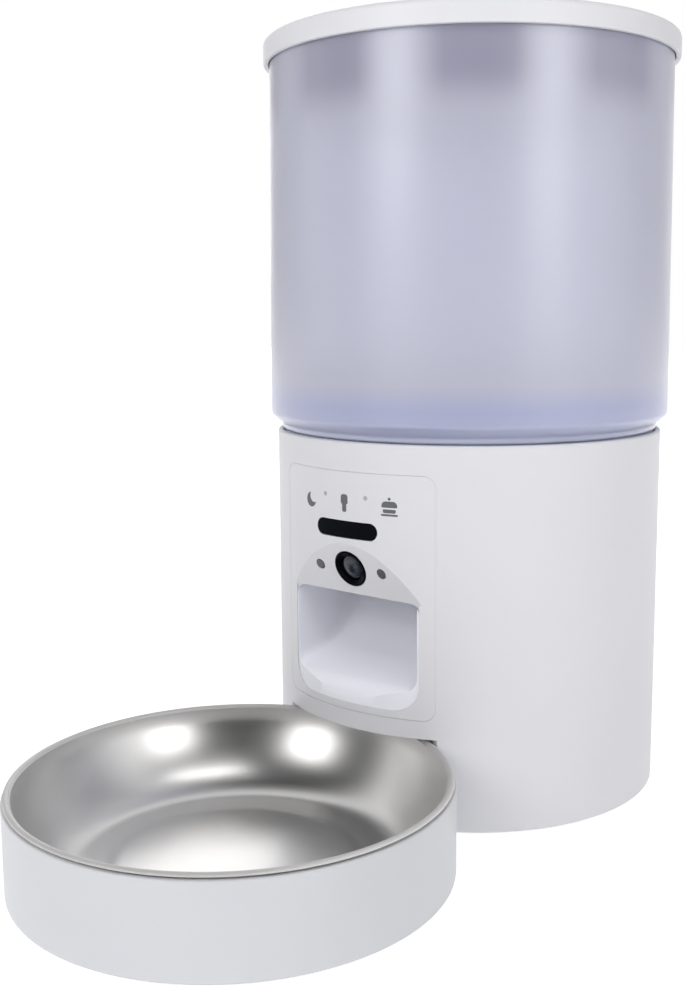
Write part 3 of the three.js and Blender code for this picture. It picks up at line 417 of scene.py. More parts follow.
panel_mesh = carved(panel_mesh, plate(
    outlet_half_width, outlet_foot, outlet_head + bed_overlap / 4, outlet_foot_round,
    outlet_head_round, panel_front - over, window_depth))
panel_mesh = carved(panel_mesh, gathered(
    plate(display_half_width, display_height - display_half_height,
          display_height + display_half_height, display_half_height, display_half_height,
          panel_front - over, window_depth),
    *[through_panel(side * status_x, status_height, status_radius + status_gap)
      for side in (-1, 1)],
    peg(bezel_radius + hole_gap, -window_depth / 2, over, on_facet),
    *[peg(ir_light_radius + hole_gap, -window_depth / 2, over,
          on_facet @ Matrix.Translation((side * ir_light_x, 0, 0))) for side in (-1, 1)]))
panel = make_piece("front_panel_insert", panel_mesh, white_shell)
panel.data.set_sharp_from_angle(angle=panel_sharp_angle)
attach(panel, "base")
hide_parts("front_panel")


# Display window and lights. A black pill of smoked acrylic, pressed into the panel, lets the
# display shine through. Two tiny light pipes sit between the printed marks, and two infra-red
# windows of dark acrylic flank the camera.
display_sink = 0.0001
status_sink = 0.0001
gloss_black = moulding(
    "gloss_black", (7, 9, 14), (11, 13, 19), roughness=0.2, grain_depth=0.000002,
    roughness_drift=0.05)
shader_of(gloss_black, {"Specular IOR Level": 0.02})
smoked = moulding(
    "smoked_plastic", (96, 98, 106), (70, 72, 80), roughness=0.25, drift_scale=260,
    grain_depth=0.000004)
status_grey = moulding(
    "status_grey", (176, 177, 184), (160, 161, 170), roughness=0.3, drift_scale=300)

display = make_piece("display_window_pill", carved(
    panel_band(housing_radius - housing_wall, housing_radius - display_sink),
    plate(display_half_width - hole_gap, display_height - display_half_height + hole_gap,
          display_height + display_half_height - hole_gap, display_half_height - hole_gap,
          display_half_height - hole_gap, panel_front - over, window_depth),
    "INTERSECT"), gloss_black)
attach(display, "base")
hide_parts("display_window")

for side, word in ((-1, "left"), (1, "right")):
    pipe = make_piece(f"status_light_pipe_{word}", carved(
        panel_band(housing_radius - housing_wall, housing_radius - status_sink),
        through_panel(side * status_x, status_height, status_radius), "INTERSECT"), status_grey)
    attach(pipe, "base")
    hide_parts(f"status_light_{word}")

ir_proud = 0.0002
ir_edge = 0.0003
for side, word in ((-1, "left"), (1, "right")):
    window_mesh = peg(ir_light_radius, -facet_wall, ir_proud,
                      on_facet @ Matrix.Translation((side * ir_light_x, 0, 0)))
    rounded(window_mesh, ir_edge)
    window = make_piece(f"ir_window_{word}", window_mesh, smoked)
    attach(window, "base")
    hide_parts(f"ir_light_{word}")


# Camera. A black bezel with a stepped cone round a domed, blue coated lens, glued into the
# facet from behind.
bezel_proud = 0.0005
bezel_depth = 0.0032
bezel_bore = 0.0056
lens_sink = 0.0004
lens_dome = 0.0009
lens_thick = 0.0016
lens_rim = bezel_bore - hole_gap
lens_steps = 96
lens_shoulder_share = 0.7
lens_crown_share = 0.35
lens_arc_points = 10


def set_on_facet(bm):
    """Moves a shape that was turned round the origin to the camera's place on the facet."""
    bmesh.ops.transform(bm, matrix=on_facet, verts=bm.verts)
    return bm


origin = Vector((0, 0, 0))
bezel_mesh = turned(
    [(bezel_bore, -bezel_depth), (bezel_radius, -bezel_depth), (bezel_radius, bezel_proud / 2),
     (bezel_radius - bezel_proud, bezel_proud), (bezel_radius - 2 * bezel_proud, bezel_proud / 2),
     (bezel_bore + bezel_proud / 2, -lens_sink / 2), (bezel_bore, -lens_sink)],
    origin, closed=True, steps=lens_steps)
bezel = make_piece("camera_bezel_ring", set_on_facet(bezel_mesh), gloss_black)
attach(bezel, "base")
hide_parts("camera_bezel")

dome_arc = interpolate_bezier(
    Vector((lens_rim, -lens_sink - lens_dome)),
    Vector((lens_rim * lens_shoulder_share, -lens_sink - lens_dome / 4)),
    Vector((lens_rim * lens_crown_share, -lens_sink)), Vector((0, -lens_sink)), lens_arc_points)
lens_mesh = turned(
    [(0, -lens_sink - lens_thick), (lens_rim, -lens_sink - lens_thick), *dome_arc[:-1],
     (0, -lens_sink)], origin, closed=False, steps=lens_steps)


def colour_ramp(tree, *stops):
    """A ramp of colours, each given with its place from 0 to 1."""
    ramp = added(tree, "ValToRGB")
    elements = ramp.color_ramp.elements
    elements[1].position = stops[-1][0]
    for place, _ in stops[1:-1]:
        elements.new(place)
    for element, (_, colour) in zip(elements, stops):
        element.color = tone(*colour)
    return ramp


lens_glass = moulding(
    "lens_glass", (30, 38, 58), (34, 42, 62), roughness=0.12, grain_depth=0.000001,
    roughness_drift=0.02)
lens_shader = shader_of(lens_glass, {"Specular IOR Level": 0.35})
lens_tree = lens_glass.node_tree
lens_place = added(lens_tree, "TexCoord")
lens_centre = added(lens_tree, "VectorMath", {1: on_facet.translation}, operation="DISTANCE")
lens_scale = added(lens_tree, "Math", {1: lens_rim}, operation="DIVIDE")
lens_rings = colour_ramp(
    lens_tree, (0.0, (8, 10, 30)), (0.24, (14, 18, 48)), (0.36, (38, 46, 60)),
    (0.6, (54, 60, 68)), (0.8, (32, 38, 46)), (0.94, (14, 16, 22)))
wired(lens_tree, (lens_place, "Object", lens_centre, 0), (lens_centre, "Value", lens_scale, 0),
      (lens_scale, 0, lens_rings, "Fac"), (lens_rings, "Color", lens_shader, "Base Color"))
lens = make_piece("camera_lens_dome", set_on_facet(lens_mesh), lens_glass)
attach(lens, "base")
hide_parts("camera_lens")


# Printed marks over the display. Three small pictures pad-printed in dark grey ink: a crescent,
# a scoop and a lidded bowl.
ink_proud = 0.00004
ink_height = 0.1325
ink = moulding("printed_ink", (92, 93, 101), (104, 105, 113), roughness=0.6, grain_scale=3000)
crescent_x = -0.02
crescent_radius = 0.0031
crescent_bite_radius = 0.0026
crescent_bite_x = crescent_x + 0.0018
crescent_bite_height = ink_height + 0.0016
bowl_mark_x = 0.0212
bowl_mark_height = ink_height + 0.001
bowl_knob_rise = 0.0029
bowl_knob_radius = 0.0006


def bar(x, height, half_width, foot, head, foot_round, head_round):
    """Flat bar of a mark, whose foot and head are measured from a height."""
    return plate(half_width, height + foot, height + head, foot_round, head_round,
                 panel_front - over, window_depth, x)


crescent_mesh = carved(
    through_panel(crescent_x, ink_height, crescent_radius),
    through_panel(crescent_bite_x, crescent_bite_height, crescent_bite_radius))
scoop_mesh = carved(
    bar(0, ink_height, half_width=0.0018, foot=0.0002, head=0.0042, foot_round=0.0008,
        head_round=0.0012),
    bar(0, ink_height, half_width=0.0011, foot=-0.003, head=0.001, foot_round=0.0008,
        head_round=0.0002), "UNION")
bowl_mark = [
    bar(bowl_mark_x, bowl_mark_height, half_width=0.0033, foot=-0.0006, head=0.0019,
        foot_round=0.0003, head_round=0.0018),
    bar(bowl_mark_x, bowl_mark_height, half_width=0.0035, foot=-0.004, head=-0.0032,
        foot_round=0.0002, head_round=0.0002),
    bar(bowl_mark_x, bowl_mark_height, half_width=0.0027, foot=-0.0028, head=-0.0013,
        foot_round=0.0007, head_round=0.0002),
    through_panel(bowl_mark_x, bowl_mark_height + bowl_knob_rise, bowl_knob_radius)]
marks = make_piece("printed_marks", carved(
    panel_band(housing_radius - display_sink, housing_radius + ink_proud),
    gathered(crescent_mesh, scoop_mesh, *bowl_mark), "INTERSECT"), ink)
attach(marks, "base")


# Outlet chute. One moulding of pale ABS, clipped in behind the outlet: a rounded lip, a
# shallow ramp and a steep throat up to the rotor, between two side walls. Its colour is whiter
# than the casing's, which paints light into the shaded inside of the outlet.
lip_radius = 0.01
lip_steps = 10
ramp_tilt = math.radians(21)
ramp_run = 0.032
chute_wall = 0.002
chute_half_width = 0.032
chute_fillet = 0.0045
seat_gap = 0.0003
mouth_gap = 0.00006
throat_back = 0.02297
throat_front = 0.0585
throat_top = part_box("outlet_chute")[1].z
lining_radius = housing_radius - housing_wall - seat_gap
lip_y = panel_front + skin_sink + lip_radius
lip_z = outlet_foot
roof_z = outlet_head + seat_gap
roof_y = (panel_front + (facet_top - outlet_head) * math.tan(facet_tilt)
          + facet_wall / math.cos(facet_tilt) + seat_gap)
lip = [
    (lip_y - lip_radius * math.cos(turn), lip_z + lip_radius * math.sin(turn))
    for turn in ((math.pi / 2 - ramp_tilt) * step / lip_steps for step in range(lip_steps + 1))]
ramp_y, ramp_z = lip[-1]
ramp_end = (ramp_y + ramp_run, ramp_z + ramp_run * math.tan(ramp_tilt))
throat_end = (body_axis.y - throat_back, throat_top)
front_y = body_axis.y - throat_front
bend_reach = 0.013
bend_points = 9
ramp_corner = Vector(ramp_end)
bend_start = ramp_corner + bend_reach * (Vector(lip[-1]) - ramp_corner).normalized()
bend_end = ramp_corner + bend_reach * (Vector(throat_end) - ramp_corner).normalized()
bend = [tuple(point) for point in interpolate_bezier(
    bend_start, (bend_start + 2 * ramp_corner) / 3, (bend_end + 2 * ramp_corner) / 3, bend_end,
    bend_points)]


def across(points, half_width, fillet=0.0, soft=0):
    """Outline in Y and Z pushed across the body. The first few points keep a rounded edge."""
    bm = bmesh.new()
    corners = [bm.verts.new((-half_width, y, z)) for y, z in points]
    bm.faces.new(corners)
    pushed(bm, (2 * half_width, 0, 0))
    if fillet > 0:
        kept = {(round(y, 6), round(z, 6)) for y, z in points[:soft]}
        along = [
            edge for edge in bm.edges
            if all((round(v.co.y, 6), round(v.co.z, 6)) in kept for v in edge.verts)
            and abs(edge.verts[0].co.x - edge.verts[1].co.x) < tiny]
        bmesh.ops.bevel(
            bm, geom=along, offset=fillet, offset_type="OFFSET", segments=6, profile=0.5,
            affect="EDGES", material=-1)
    return bm


void_mesh = across(
    [*lip, *bend, (throat_end[0], throat_end[1] + over), (front_y, throat_top + over),
     (front_y, roof_z), (lip[0][0] - over, roof_z), (lip[0][0] - over, lip_z)],
    chute_half_width, chute_fillet, len(lip) + len(bend) + 1)
outer_mesh = across(
    [(lip[0][0], lip_z), (ramp_y + chute_wall, lip_z),
     (ramp_y + chute_wall, ramp_z - chute_wall),
     (ramp_end[0] + chute_wall, ramp_end[1] - chute_wall),
     (throat_end[0] + chute_wall, throat_top), (front_y - chute_wall, throat_top),
     (front_y - chute_wall, roof_z + chute_wall), (roof_y, roof_z + chute_wall),
     (roof_y, outlet_head - seat_gap), (lip[0][0], outlet_head - seat_gap)],
    chute_half_width + chute_wall)
clip_mesh = carved(
    peg(outer_skin, outlet_foot, outlet_head, Matrix.Translation(body_axis), fine_steps),
    plate(outlet_half_width - mouth_gap, outlet_foot + mouth_gap, outlet_head - seat_gap,
          outlet_foot_round - mouth_gap, outlet_head_round - seat_gap, panel_front - over,
          window_depth), "INTERSECT")
clip_mesh = carved(clip_mesh, peg(
    lining_radius, outlet_foot - seat_gap, housing_high.z, Matrix.Translation(body_axis),
    fine_steps), "UNION")
chute_mesh = carved(carved(outer_mesh, clip_mesh, "INTERSECT"), void_mesh)
# Painted light: a white lighter than the casing's, to lift the shade inside the outlet.
chute_grey = moulding("chute_grey", (243, 244, 251), (240, 241, 249), roughness=0.5)
chute = make_piece("outlet_chute_moulding", chute_mesh, chute_grey)
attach(chute, "base")
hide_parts("outlet_chute")


# Tray dock, bottom plate and battery door. Plain inner mouldings of the same white ABS as the
# casing, matt from the mould.
body_of = {
    node: body
    for body, nodes in frame["record"]["behaviour"]["bodies"].items() for node in nodes}
flat_angle = math.radians(0.5)


def finished(node, material, width=0.0, segments=2):
    """A solid of the frame with merged faces, soft edges and its finish, in the solid's place."""
    bm = bmesh.new()
    bm.from_mesh(frame["nodes"][node].data)
    bmesh.ops.remove_doubles(bm, verts=bm.verts, dist=tiny)
    bmesh.ops.dissolve_limit(
        bm, angle_limit=flat_angle, verts=bm.verts, edges=bm.edges)
    if width > 0:
        rounded(bm, width, segments)
    piece = make_piece(f"{node}_finished", bm, material)
    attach(piece, body_of[node])
    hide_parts(node)
    return piece


white_inside = moulding(
    "white_inside", (219, 220, 227), (211, 212, 220), roughness=0.55, grain_scale=900,
    grain_depth=0.00004)
for node in ("tray_dock", "bottom_plate", "battery_door"):
    finished(node, white_inside)


# Feet and tray pads. Soft grey rubber discs with a rounded edge, pressed into recesses of the
# bottom plate and of the tray's floor.
pad_edge = 0.0003
rubber = moulding(
    "grey_rubber", (162, 164, 170), (150, 152, 158), roughness=0.8, grain_scale=700,
    grain_depth=0.00008)
for kind in ("foot", "tray_pad"):
    for number in range(1, 5):
        finished(f"{kind}_{number}", rubber, pad_edge)


# Plated steel parts. Screws, contacts, the drive coupler and the cans of the gearbox and motor
# are turned or pressed from nickel plated steel.
def turned_metal():
    """Fine lines left by turning or brushing, as height and as a change of gloss."""
    group, entry, leave = effect_group(
        "turned_metal",
        [("Axis", "NodeSocketVector"), ("Line scale", "NodeSocketFloat"),
         ("Roughness", "NodeSocketFloat"), ("Roughness drift", "NodeSocketFloat")],
        [("Roughness", "NodeSocketFloat"), ("Height", "NodeSocketFloat")])
    place = added(group, "TexCoord")
    centred = added(group, "VectorMath", operation="SUBTRACT")
    parts = added(group, "SeparateXYZ")
    flat = added(group, "CombineXYZ")
    reach = added(group, "VectorMath", operation="LENGTH")
    line = added(group, "CombineXYZ")
    lines = added(group, "TexNoise")
    offset = added(group, "Math", {1: noise_middle}, operation="SUBTRACT")
    spread = added(group, "Math", operation="MULTIPLY_ADD")
    wired(
        group, (place, "Object", centred, 0), (entry, "Axis", centred, 1),
        (centred, "Vector", parts, "Vector"), (parts, "X", flat, "X"), (parts, "Y", flat, "Y"),
        (flat, "Vector", reach, 0), (reach, "Value", line, "X"), (parts, "Z", line, "Y"),
        (line, "Vector", lines, "Vector"), (entry, "Line scale", lines, "Scale"),
        (lines, "Fac", offset, 0), (offset, 0, spread, 0), (entry, "Roughness drift", spread, 1),
        (entry, "Roughness", spread, 2), (spread, 0, leave, "Roughness"),
        (lines, "Fac", leave, "Height"))
    return group


turned_group = turned_metal()


def metal(name, colour, roughness, axis, line_scale, line_depth, roughness_drift=0.1):
    """A turned or brushed metal finish, with its lines round an upright axis."""
    material = surfaced(name, turned_group, {
        "Axis": axis, "Line scale": line_scale, "Roughness": roughness,
        "Roughness drift": roughness_drift}, line_depth)
    shader_of(material, {"Base Color": tone(*colour), "Metallic": 1})
    return material


plated = metal(
    "nickel_plate", (190, 192, 197), roughness=0.32, axis=body_axis, line_scale=1200,
    line_depth=0.00001)
for node in ("battery_door_screw", "battery_contact_front", "battery_contact_rear",
             "drive_coupler", "gearbox", "motor", "motor_screw_1", "motor_screw_2",
             *[f"base_screw_{number}" for number in range(1, 5)]):
    finished(node, plated)


# Battery cells. Three standard cells in printed film sleeves, lying side by side in the bay
# between the contact strips, where the battery door keeps them in.
cell_sleeve = moulding("cell_sleeve", (60, 74, 94), (52, 65, 84), roughness=0.35, drift_scale=60)
for number in range(1, 4):
    finished(f"battery_cell_{number}", cell_sleeve)


# Rotor well, metering rotor and agitator. The well is moulded in matt white, and the turning
# parts in a pale green acetal that slides on it.
rotor_plastic = moulding("rotor_acetal", (195, 211, 203), (187, 204, 196), roughness=0.5)
finished("rotor_well", white_inside)
for node in ("metering_rotor", "agitator"):
    finished(node, rotor_plastic)


# Soft parts inside. The baffle over the drop hole and the seal round the lid's skirt are
# moulded in pale silicone and held by their own stretch.
silicone = moulding(
    "pale_silicone", (206, 208, 220), (198, 200, 213), roughness=0.6, grain_scale=600,
    grain_depth=0.00003)
for node in ("outlet_baffle", "lid_seal"):
    finished(node, silicone)


# Circuit boards. Glass-fibre laminate under green solder mask, where the copper beneath shows
# through as lighter patches.
circuit = moulding(
    "solder_mask", (36, 96, 66), (24, 78, 52), roughness=0.35, drift_scale=420, grain_scale=2200)
for node in ("camera_module", "ui_board", "main_board"):
    finished(node, circuit)


# Speaker and power inlet. Black parts of fibre-filled plastic, set behind the rear wall at its
# grille and its small window.
black_plastic = moulding(
    "black_plastic", (52, 53, 58), (40, 41, 46), roughness=0.45, drift_scale=120)
for node in ("speaker", "power_inlet"):
    finished(node, black_plastic)


# Food tank. A frosted, lavender tinted tube of translucent plastic with a narrow neck that
# stands on the base, a short taper and a straight wall. Inside it a funnel leads to the throat.
# A band of painted shade near the top of the wall stands for the shadow of the lid's skirt seen
# through it. It is broken into nine soft dark patches whose lighter gaps lie where the side lamps'
# highlights run.
tank_low, tank_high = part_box("tank_shell")
tank_foot_radius = (tank_high.x - tank_low.x) / 2
tank_top_radius = 0.0865
tank_neck_radius = 0.083
tank_neck_height = 0.0023
tank_taper_height = 0.0043
tank_wall = 0.0024
tank_round = 0.0009
tank_knee = tank_low.z + tank_neck_height + tank_taper_height


# Painted shade: a darker band near the top of the tank wall for the lid skirt's shadow, cut into
# nine patches with lighter gaps under the highlights.
painted_shade_patches = 9
painted_patch_turn = math.radians(-52.5)
painted_patch_full = 0.25
painted_band_foot = 0.76
painted_band_full = 0.87
frosted = moulding(
    "frosted_tank", (228, 229, 245), (225, 226, 243), roughness=0.36, grain_scale=2600,
    grain_depth=0.000015, roughness_drift=0.06)
tank_shader = shader_of(frosted, {
    "Transmission Weight": 0.55, "IOR": 1.4, "Coat Weight": 1, "Coat Roughness": 0.36,
    "Coat IOR": 1.7})
tank_surface = tank_shader.inputs["Base Color"].links[0].from_node
tank_tree = frosted.node_tree
tank_place = added(tank_tree, "TexCoord")
tank_parts = added(tank_tree, "SeparateXYZ")
tank_rise = added(tank_tree, "MapRange", {"From Min": tank_low.z, "From Max": tank_high.z})
# Tints along the height: bluer round the foot, and paler at the very neck, which paints light into
# the shaded neck groove.
tank_foot_tint_and_neck_light = colour_ramp(
    tank_tree, (0.0, (244, 248, 255)), (0.02, (238, 242, 255)), (0.08, (232, 236, 255)),
    (0.14, (255, 255, 255)), (1.0, (255, 255, 255)))
tank_tinted_and_lit = added(tank_tree, "Mix", {"Factor": 1}, data_type="RGBA", blend_type="MULTIPLY")
from_axis = added(tank_tree, "Math", {1: body_axis.y}, operation="SUBTRACT")
around = added(tank_tree, "Math", operation="ARCTAN2")
painted_patch_count = added(
    tank_tree, "Math", {1: painted_shade_patches, 2: -painted_shade_patches * painted_patch_turn}, operation="MULTIPLY_ADD")
painted_patch_wave = added(tank_tree, "Math", operation="COSINE")
painted_patch_shade = added(tank_tree, "MapRange", {"From Min": -1, "From Max": painted_patch_full})
painted_band_rise = added(
    tank_tree, "MapRange", {"From Min": painted_band_foot, "From Max": painted_band_full},
    interpolation_type="SMOOTHSTEP")
painted_band_shade = added(tank_tree, "Math", operation="MULTIPLY")
# The colour of the painted shade band, multiplied in by the band and patch strength.
tank_painted_shade = added(
    tank_tree, "Mix", {"B": tone(219, 216, 225)}, data_type="RGBA", blend_type="MULTIPLY")
wired(
    tank_tree, (tank_place, "Object", tank_parts, "Vector"),
    (tank_parts, "Z", tank_rise, "Value"), (tank_rise, "Result", tank_foot_tint_and_neck_light, "Fac"),
    (tank_surface, "Colour", tank_tinted_and_lit, "A"), (tank_foot_tint_and_neck_light, "Color", tank_tinted_and_lit, "B"),
    (tank_parts, "Y", from_axis, 0), (from_axis, 0, around, 0), (tank_parts, "X", around, 1),
    (around, 0, painted_patch_count, 0), (painted_patch_count, 0, painted_patch_wave, 0), (painted_patch_wave, 0, painted_patch_shade, "Value"),
    (tank_rise, "Result", painted_band_rise, "Value"), (painted_patch_shade, "Result", painted_band_shade, 0),
    (painted_band_rise, "Result", painted_band_shade, 1), (painted_band_shade, 0, tank_painted_shade, "Factor"),
    (tank_tinted_and_lit, "Result", tank_painted_shade, "A"),
    (tank_painted_shade, "Result", tank_shader, "Base Color"))
tank_mesh = turned(
    [(tank_neck_radius, tank_low.z), (tank_neck_radius, tank_low.z + tank_neck_height),
     (tank_foot_radius, tank_knee), (tank_top_radius, tank_high.z),
     (tank_top_radius - tank_wall, tank_high.z), (tank_foot_radius - tank_wall, tank_knee),
     (tank_neck_radius - tank_wall, tank_low.z + tank_neck_height),
     (tank_neck_radius - tank_wall, tank_low.z)],
    body_axis, closed=True)
rounded(tank_mesh, tank_round)
tank = make_piece("tank_shell_tube", tank_mesh, frosted)
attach(tank, "tank")
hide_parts("tank_shell")
finished("tank_funnel", frosted)


# Lid. A flat cap of white ABS with a rounded rim outside the tank and a deep skirt inside it,
# which carries the seal and a small box for a desiccant sachet under a slotted twist cap.
lid_low, lid_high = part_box("lid")
lid_radius = (lid_high.x - lid_low.x) / 2
lid_rim_foot = 0.3135
lid_plate = 0.0022
lid_rim_wall = 0.0022
lid_edge = 0.0021
lid_foot_edge = 0.0005
skirt_radius = 0.0822
skirt_wall = 0.002
lid_mesh = turned(
    [(0, lid_high.z - lid_plate), (skirt_radius - skirt_wall, lid_high.z - lid_plate),
     (skirt_radius - skirt_wall, lid_low.z), (skirt_radius, lid_low.z),
     (skirt_radius, lid_high.z - lid_plate), (lid_radius - lid_rim_wall, lid_high.z - lid_plate),
     (lid_radius - lid_rim_wall, lid_rim_foot), (lid_radius, lid_rim_foot),
     (lid_radius, lid_high.z), (0, lid_high.z)],
    body_axis, closed=False)
rounded(lid_mesh, lid_edge, segments=5, where=lambda e: edge_height(e) > lid_high.z - tiny)
rounded(lid_mesh, lid_foot_edge, segments=2,
        where=lambda e: abs(edge_height(e) - lid_rim_foot) < tiny)
lid = make_piece("lid_cap", lid_mesh, white_shell)
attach(lid, "lid")
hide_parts("lid")
finished("desiccant_box", white_inside)
finished("desiccant_cap", white_shell)
sachet = moulding(
    "sachet_paper", (242, 241, 236), (228, 227, 221), roughness=0.85, drift_scale=90,
    grain_scale=500, grain_depth=0.0001)
finished("desiccant_sachet", sachet)


# Bowl tray. A round cup of white ABS with a softened foot edge. It stands on four pads and
# slides into the base's notch. Its white is a little darker than the casing's, which paints shade
# over the extra light it takes from the floor and the front lamp.
tray_radius = (tray_high.x - tray_low.x) / 2
tray_wall = 0.0024
tray_floor = 0.0024
tray_foot_edge = 0.0018
tray_top_edge = 0.0006
pad_gap = 0.0003
tray_mesh = turned(
    [(0, tray_low.z), (tray_radius, tray_low.z), (tray_radius, tray_high.z),
     (tray_radius - tray_wall, tray_high.z), (tray_radius - tray_wall, tray_low.z + tray_floor),
     (0, tray_low.z + tray_floor)],
    tray_axis, closed=False)
rounded(tray_mesh, tray_foot_edge, segments=4, where=lambda e: (
    edge_height(e) < tray_low.z + tiny and edge_radius(e, tray_axis) > tray_radius / 2))
rounded(tray_mesh, tray_top_edge, where=lambda e: edge_height(e) > tray_high.z - tiny)
recesses = []
for number in range(1, 5):
    pad_low, pad_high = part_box(f"tray_pad_{number}")
    recesses.append(peg(
        (pad_high.x - pad_low.x) / 2 + pad_gap, -over, pad_high.z + pad_gap,
        Matrix.Translation(((pad_low.x + pad_high.x) / 2, (pad_low.y + pad_high.y) / 2, 0))))
tray_mesh = carved(tray_mesh, gathered(*recesses))
# Painted shade: the casing's white made darker for the tray alone.
tray_white_painted_shade = moulding("tray_white_painted_shade", (214, 215, 219), (209, 210, 215), roughness=0.42)
tray = make_piece("bowl_tray_cup", tray_mesh, tray_white_painted_shade)
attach(tray, "tray")
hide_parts("bowl_tray")


# Steel bowl. Pressed from one sheet of stainless steel: a slightly domed disc, a ring floor, a
# swept wall and a rolled rim that rests over the tray's edge. Satin finish.
bowl_low, bowl_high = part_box("steel_bowl")
bowl_sheet = 0.0008
bowl_rim_radius = (bowl_high.x - bowl_low.x) / 2
bowl_lip = 0.0012
bowl_wall_radius = 0.0806
bowl_floor = 0.005
bowl_floor_radius = 0.057
bowl_disc_radius = 0.044
bowl_disc_rise = 0.0012
bowl_dome_rise = 0.0014
bowl_pull_share = 0.27
bowl_crown_share = 0.8
bowl_dome_points = 16
bowl_step_run = 0.007
bowl_step_points = 10
bowl_sweep_points = 32
bowl_lip_steps = 12
bowl_rim_roughness = 0.45
disc_dome = interpolate_bezier(
    Vector((0, bowl_floor + bowl_disc_rise + bowl_dome_rise)),
    Vector((bowl_disc_radius / 3, bowl_floor + bowl_disc_rise + bowl_dome_rise)),
    Vector((bowl_disc_radius * bowl_crown_share,
            bowl_floor + bowl_disc_rise + bowl_dome_rise / 3)),
    Vector((bowl_disc_radius, bowl_floor + bowl_disc_rise)), bowl_dome_points)
disc_step = interpolate_bezier(
    Vector((bowl_disc_radius, bowl_floor + bowl_disc_rise)),
    Vector((bowl_disc_radius + bowl_step_run / 2, bowl_floor + bowl_disc_rise / 2)),
    Vector((bowl_disc_radius + bowl_step_run / 2, bowl_floor)),
    Vector((bowl_disc_radius + bowl_step_run, bowl_floor)), bowl_step_points)
wall_sweep = interpolate_bezier(
    Vector((bowl_floor_radius, bowl_floor)),
    Vector((bowl_floor_radius + 2 * bowl_pull_share * (bowl_wall_radius - bowl_floor_radius),
            bowl_floor)),
    Vector((bowl_wall_radius, bowl_high.z - bowl_pull_share * (bowl_high.z - bowl_floor))),
    Vector((bowl_wall_radius, bowl_high.z - bowl_lip)), bowl_sweep_points)
lip_middle = bowl_rim_radius - bowl_lip
lip_arc = [
    (lip_middle - bowl_lip * math.cos(turn), bowl_high.z - bowl_lip + bowl_lip * math.sin(turn))
    for turn in (math.pi * step / bowl_lip_steps for step in range(1, bowl_lip_steps + 1))]
bowl_mesh = turned(
    [*disc_dome[:-1], *disc_step, *wall_sweep, *lip_arc], tray_axis, closed=False)
steel = metal(
    "satin_steel", (223, 222, 221), roughness=0.32, axis=tray_axis, line_scale=900,
    line_depth=0.000004, roughness_drift=0.05)
steel_shader = shader_of(steel)
satin = steel_shader.inputs["Roughness"].links[0].from_node
steel_tree = steel.node_tree
steel_place = added(steel_tree, "TexCoord")
steel_spot = added(steel_tree, "VectorMath", {1: tray_axis}, operation="SUBTRACT")
steel_flat = added(steel_tree, "VectorMath", {1: (1, 1, 0)}, operation="MULTIPLY")
steel_reach = added(steel_tree, "VectorMath", operation="LENGTH")
rim_matt = added(steel_tree, "MapRange", {
    "From Min": bowl_wall_radius - bowl_lip, "From Max": bowl_wall_radius + bowl_lip,
    "To Max": bowl_rim_roughness})
steel_gloss = added(steel_tree, "Math")
wired(
    steel_tree, (steel_place, "Object", steel_spot, 0), (steel_spot, "Vector", steel_flat, 0),
    (steel_flat, "Vector", steel_reach, 0), (steel_reach, "Value", rim_matt, "Value"),
    (satin, "Roughness", steel_gloss, 0), (rim_matt, "Result", steel_gloss, 1),
    (steel_gloss, 0, steel_shader, "Roughness"))
bowl = make_piece("steel_bowl_pressing", bowl_mesh, steel)
bowl.modifiers.remove(bowl.modifiers["even_shading"])
sheet = bowl.modifiers.new("sheet", "SOLIDIFY")
sheet.thickness = bowl_sheet
sheet.offset = -1
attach(bowl, "bowl")
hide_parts("steel_bowl")


# Camera, lamps and floor. Two square soft boxes stand left and right of the camera, a long one
# hangs above, a weak fill stands behind, and reflections leave out one that is high in front.
# The floor and backdrop are white, with dark flags round them that only reflections show.
camera_data = bpy.data.cameras.new("camera")
camera = bpy.data.objects.new("camera", camera_data)
bpy.context.scene.collection.objects.link(camera)
camera_place = Vector((0.32676, -0.38735, 0.21305))
camera_turn = math.radians(40.07)
camera_tip = math.radians(81.436)
camera_roll = math.radians(-0.31)
camera.matrix_world = (
    Matrix.Translation(camera_place) @ Matrix.Rotation(camera_turn, 4, "Z")
    @ Matrix.Rotation(camera_tip, 4, "X") @ Matrix.Rotation(camera_roll, 4, "Z"))
camera_data.sensor_width = 36
camera_data.lens = 45.41
camera_data.shift_x = -0.0241
camera_data.shift_y = -0.0046
camera_data.clip_start = 0.01
bpy.context.scene.camera = camera

aim_height = 0.15
flag_core_share = 0.7
floor_reach = 4.0
floor_bounce_share = 0.42
view_angle = math.atan2(camera_place.y - body_axis.y, camera_place.x - body_axis.x)


def soft_box(name, turn, distance, height, width, tall, radiance):
    """An area lamp that stands round the object from the camera and faces the body's axis."""
    data = bpy.data.lights.new(name, "AREA")
    data.shape = "RECTANGLE"
    data.size = width
    data.size_y = tall
    data.energy = radiance * math.pi * width * tall
    lamp = bpy.data.objects.new(name, data)
    bpy.context.scene.collection.objects.link(lamp)
    angle = view_angle + math.radians(turn)
    spot = body_axis + Vector((distance * math.cos(angle), distance * math.sin(angle), height))
    aim = Vector((body_axis.x, body_axis.y, aim_height)) - spot
    lamp.rotation_euler = aim.to_track_quat("-Z", "Y").to_euler()
    lamp.location = spot
    lamp.visible_camera = False
    return lamp


soft_box("soft_box_left", turn=-40, distance=1.3, height=0.63, width=0.5, tall=0.5, radiance=4.5)
soft_box("soft_box_right", turn=42, distance=1.3, height=0.54, width=0.5, tall=0.5, radiance=4.1)
soft_box("soft_box_above", turn=25, distance=0.8, height=1.25, width=0.9, tall=0.22, radiance=4.2)
soft_box("rear_fill", turn=-168, distance=1.6, height=0.6, width=0.8, tall=0.7, radiance=1.2)
front_fill = soft_box(
    "front_fill", turn=-35, distance=1.1, height=0.95, width=0.7, tall=0.5, radiance=2.4)
front_fill.visible_glossy = False

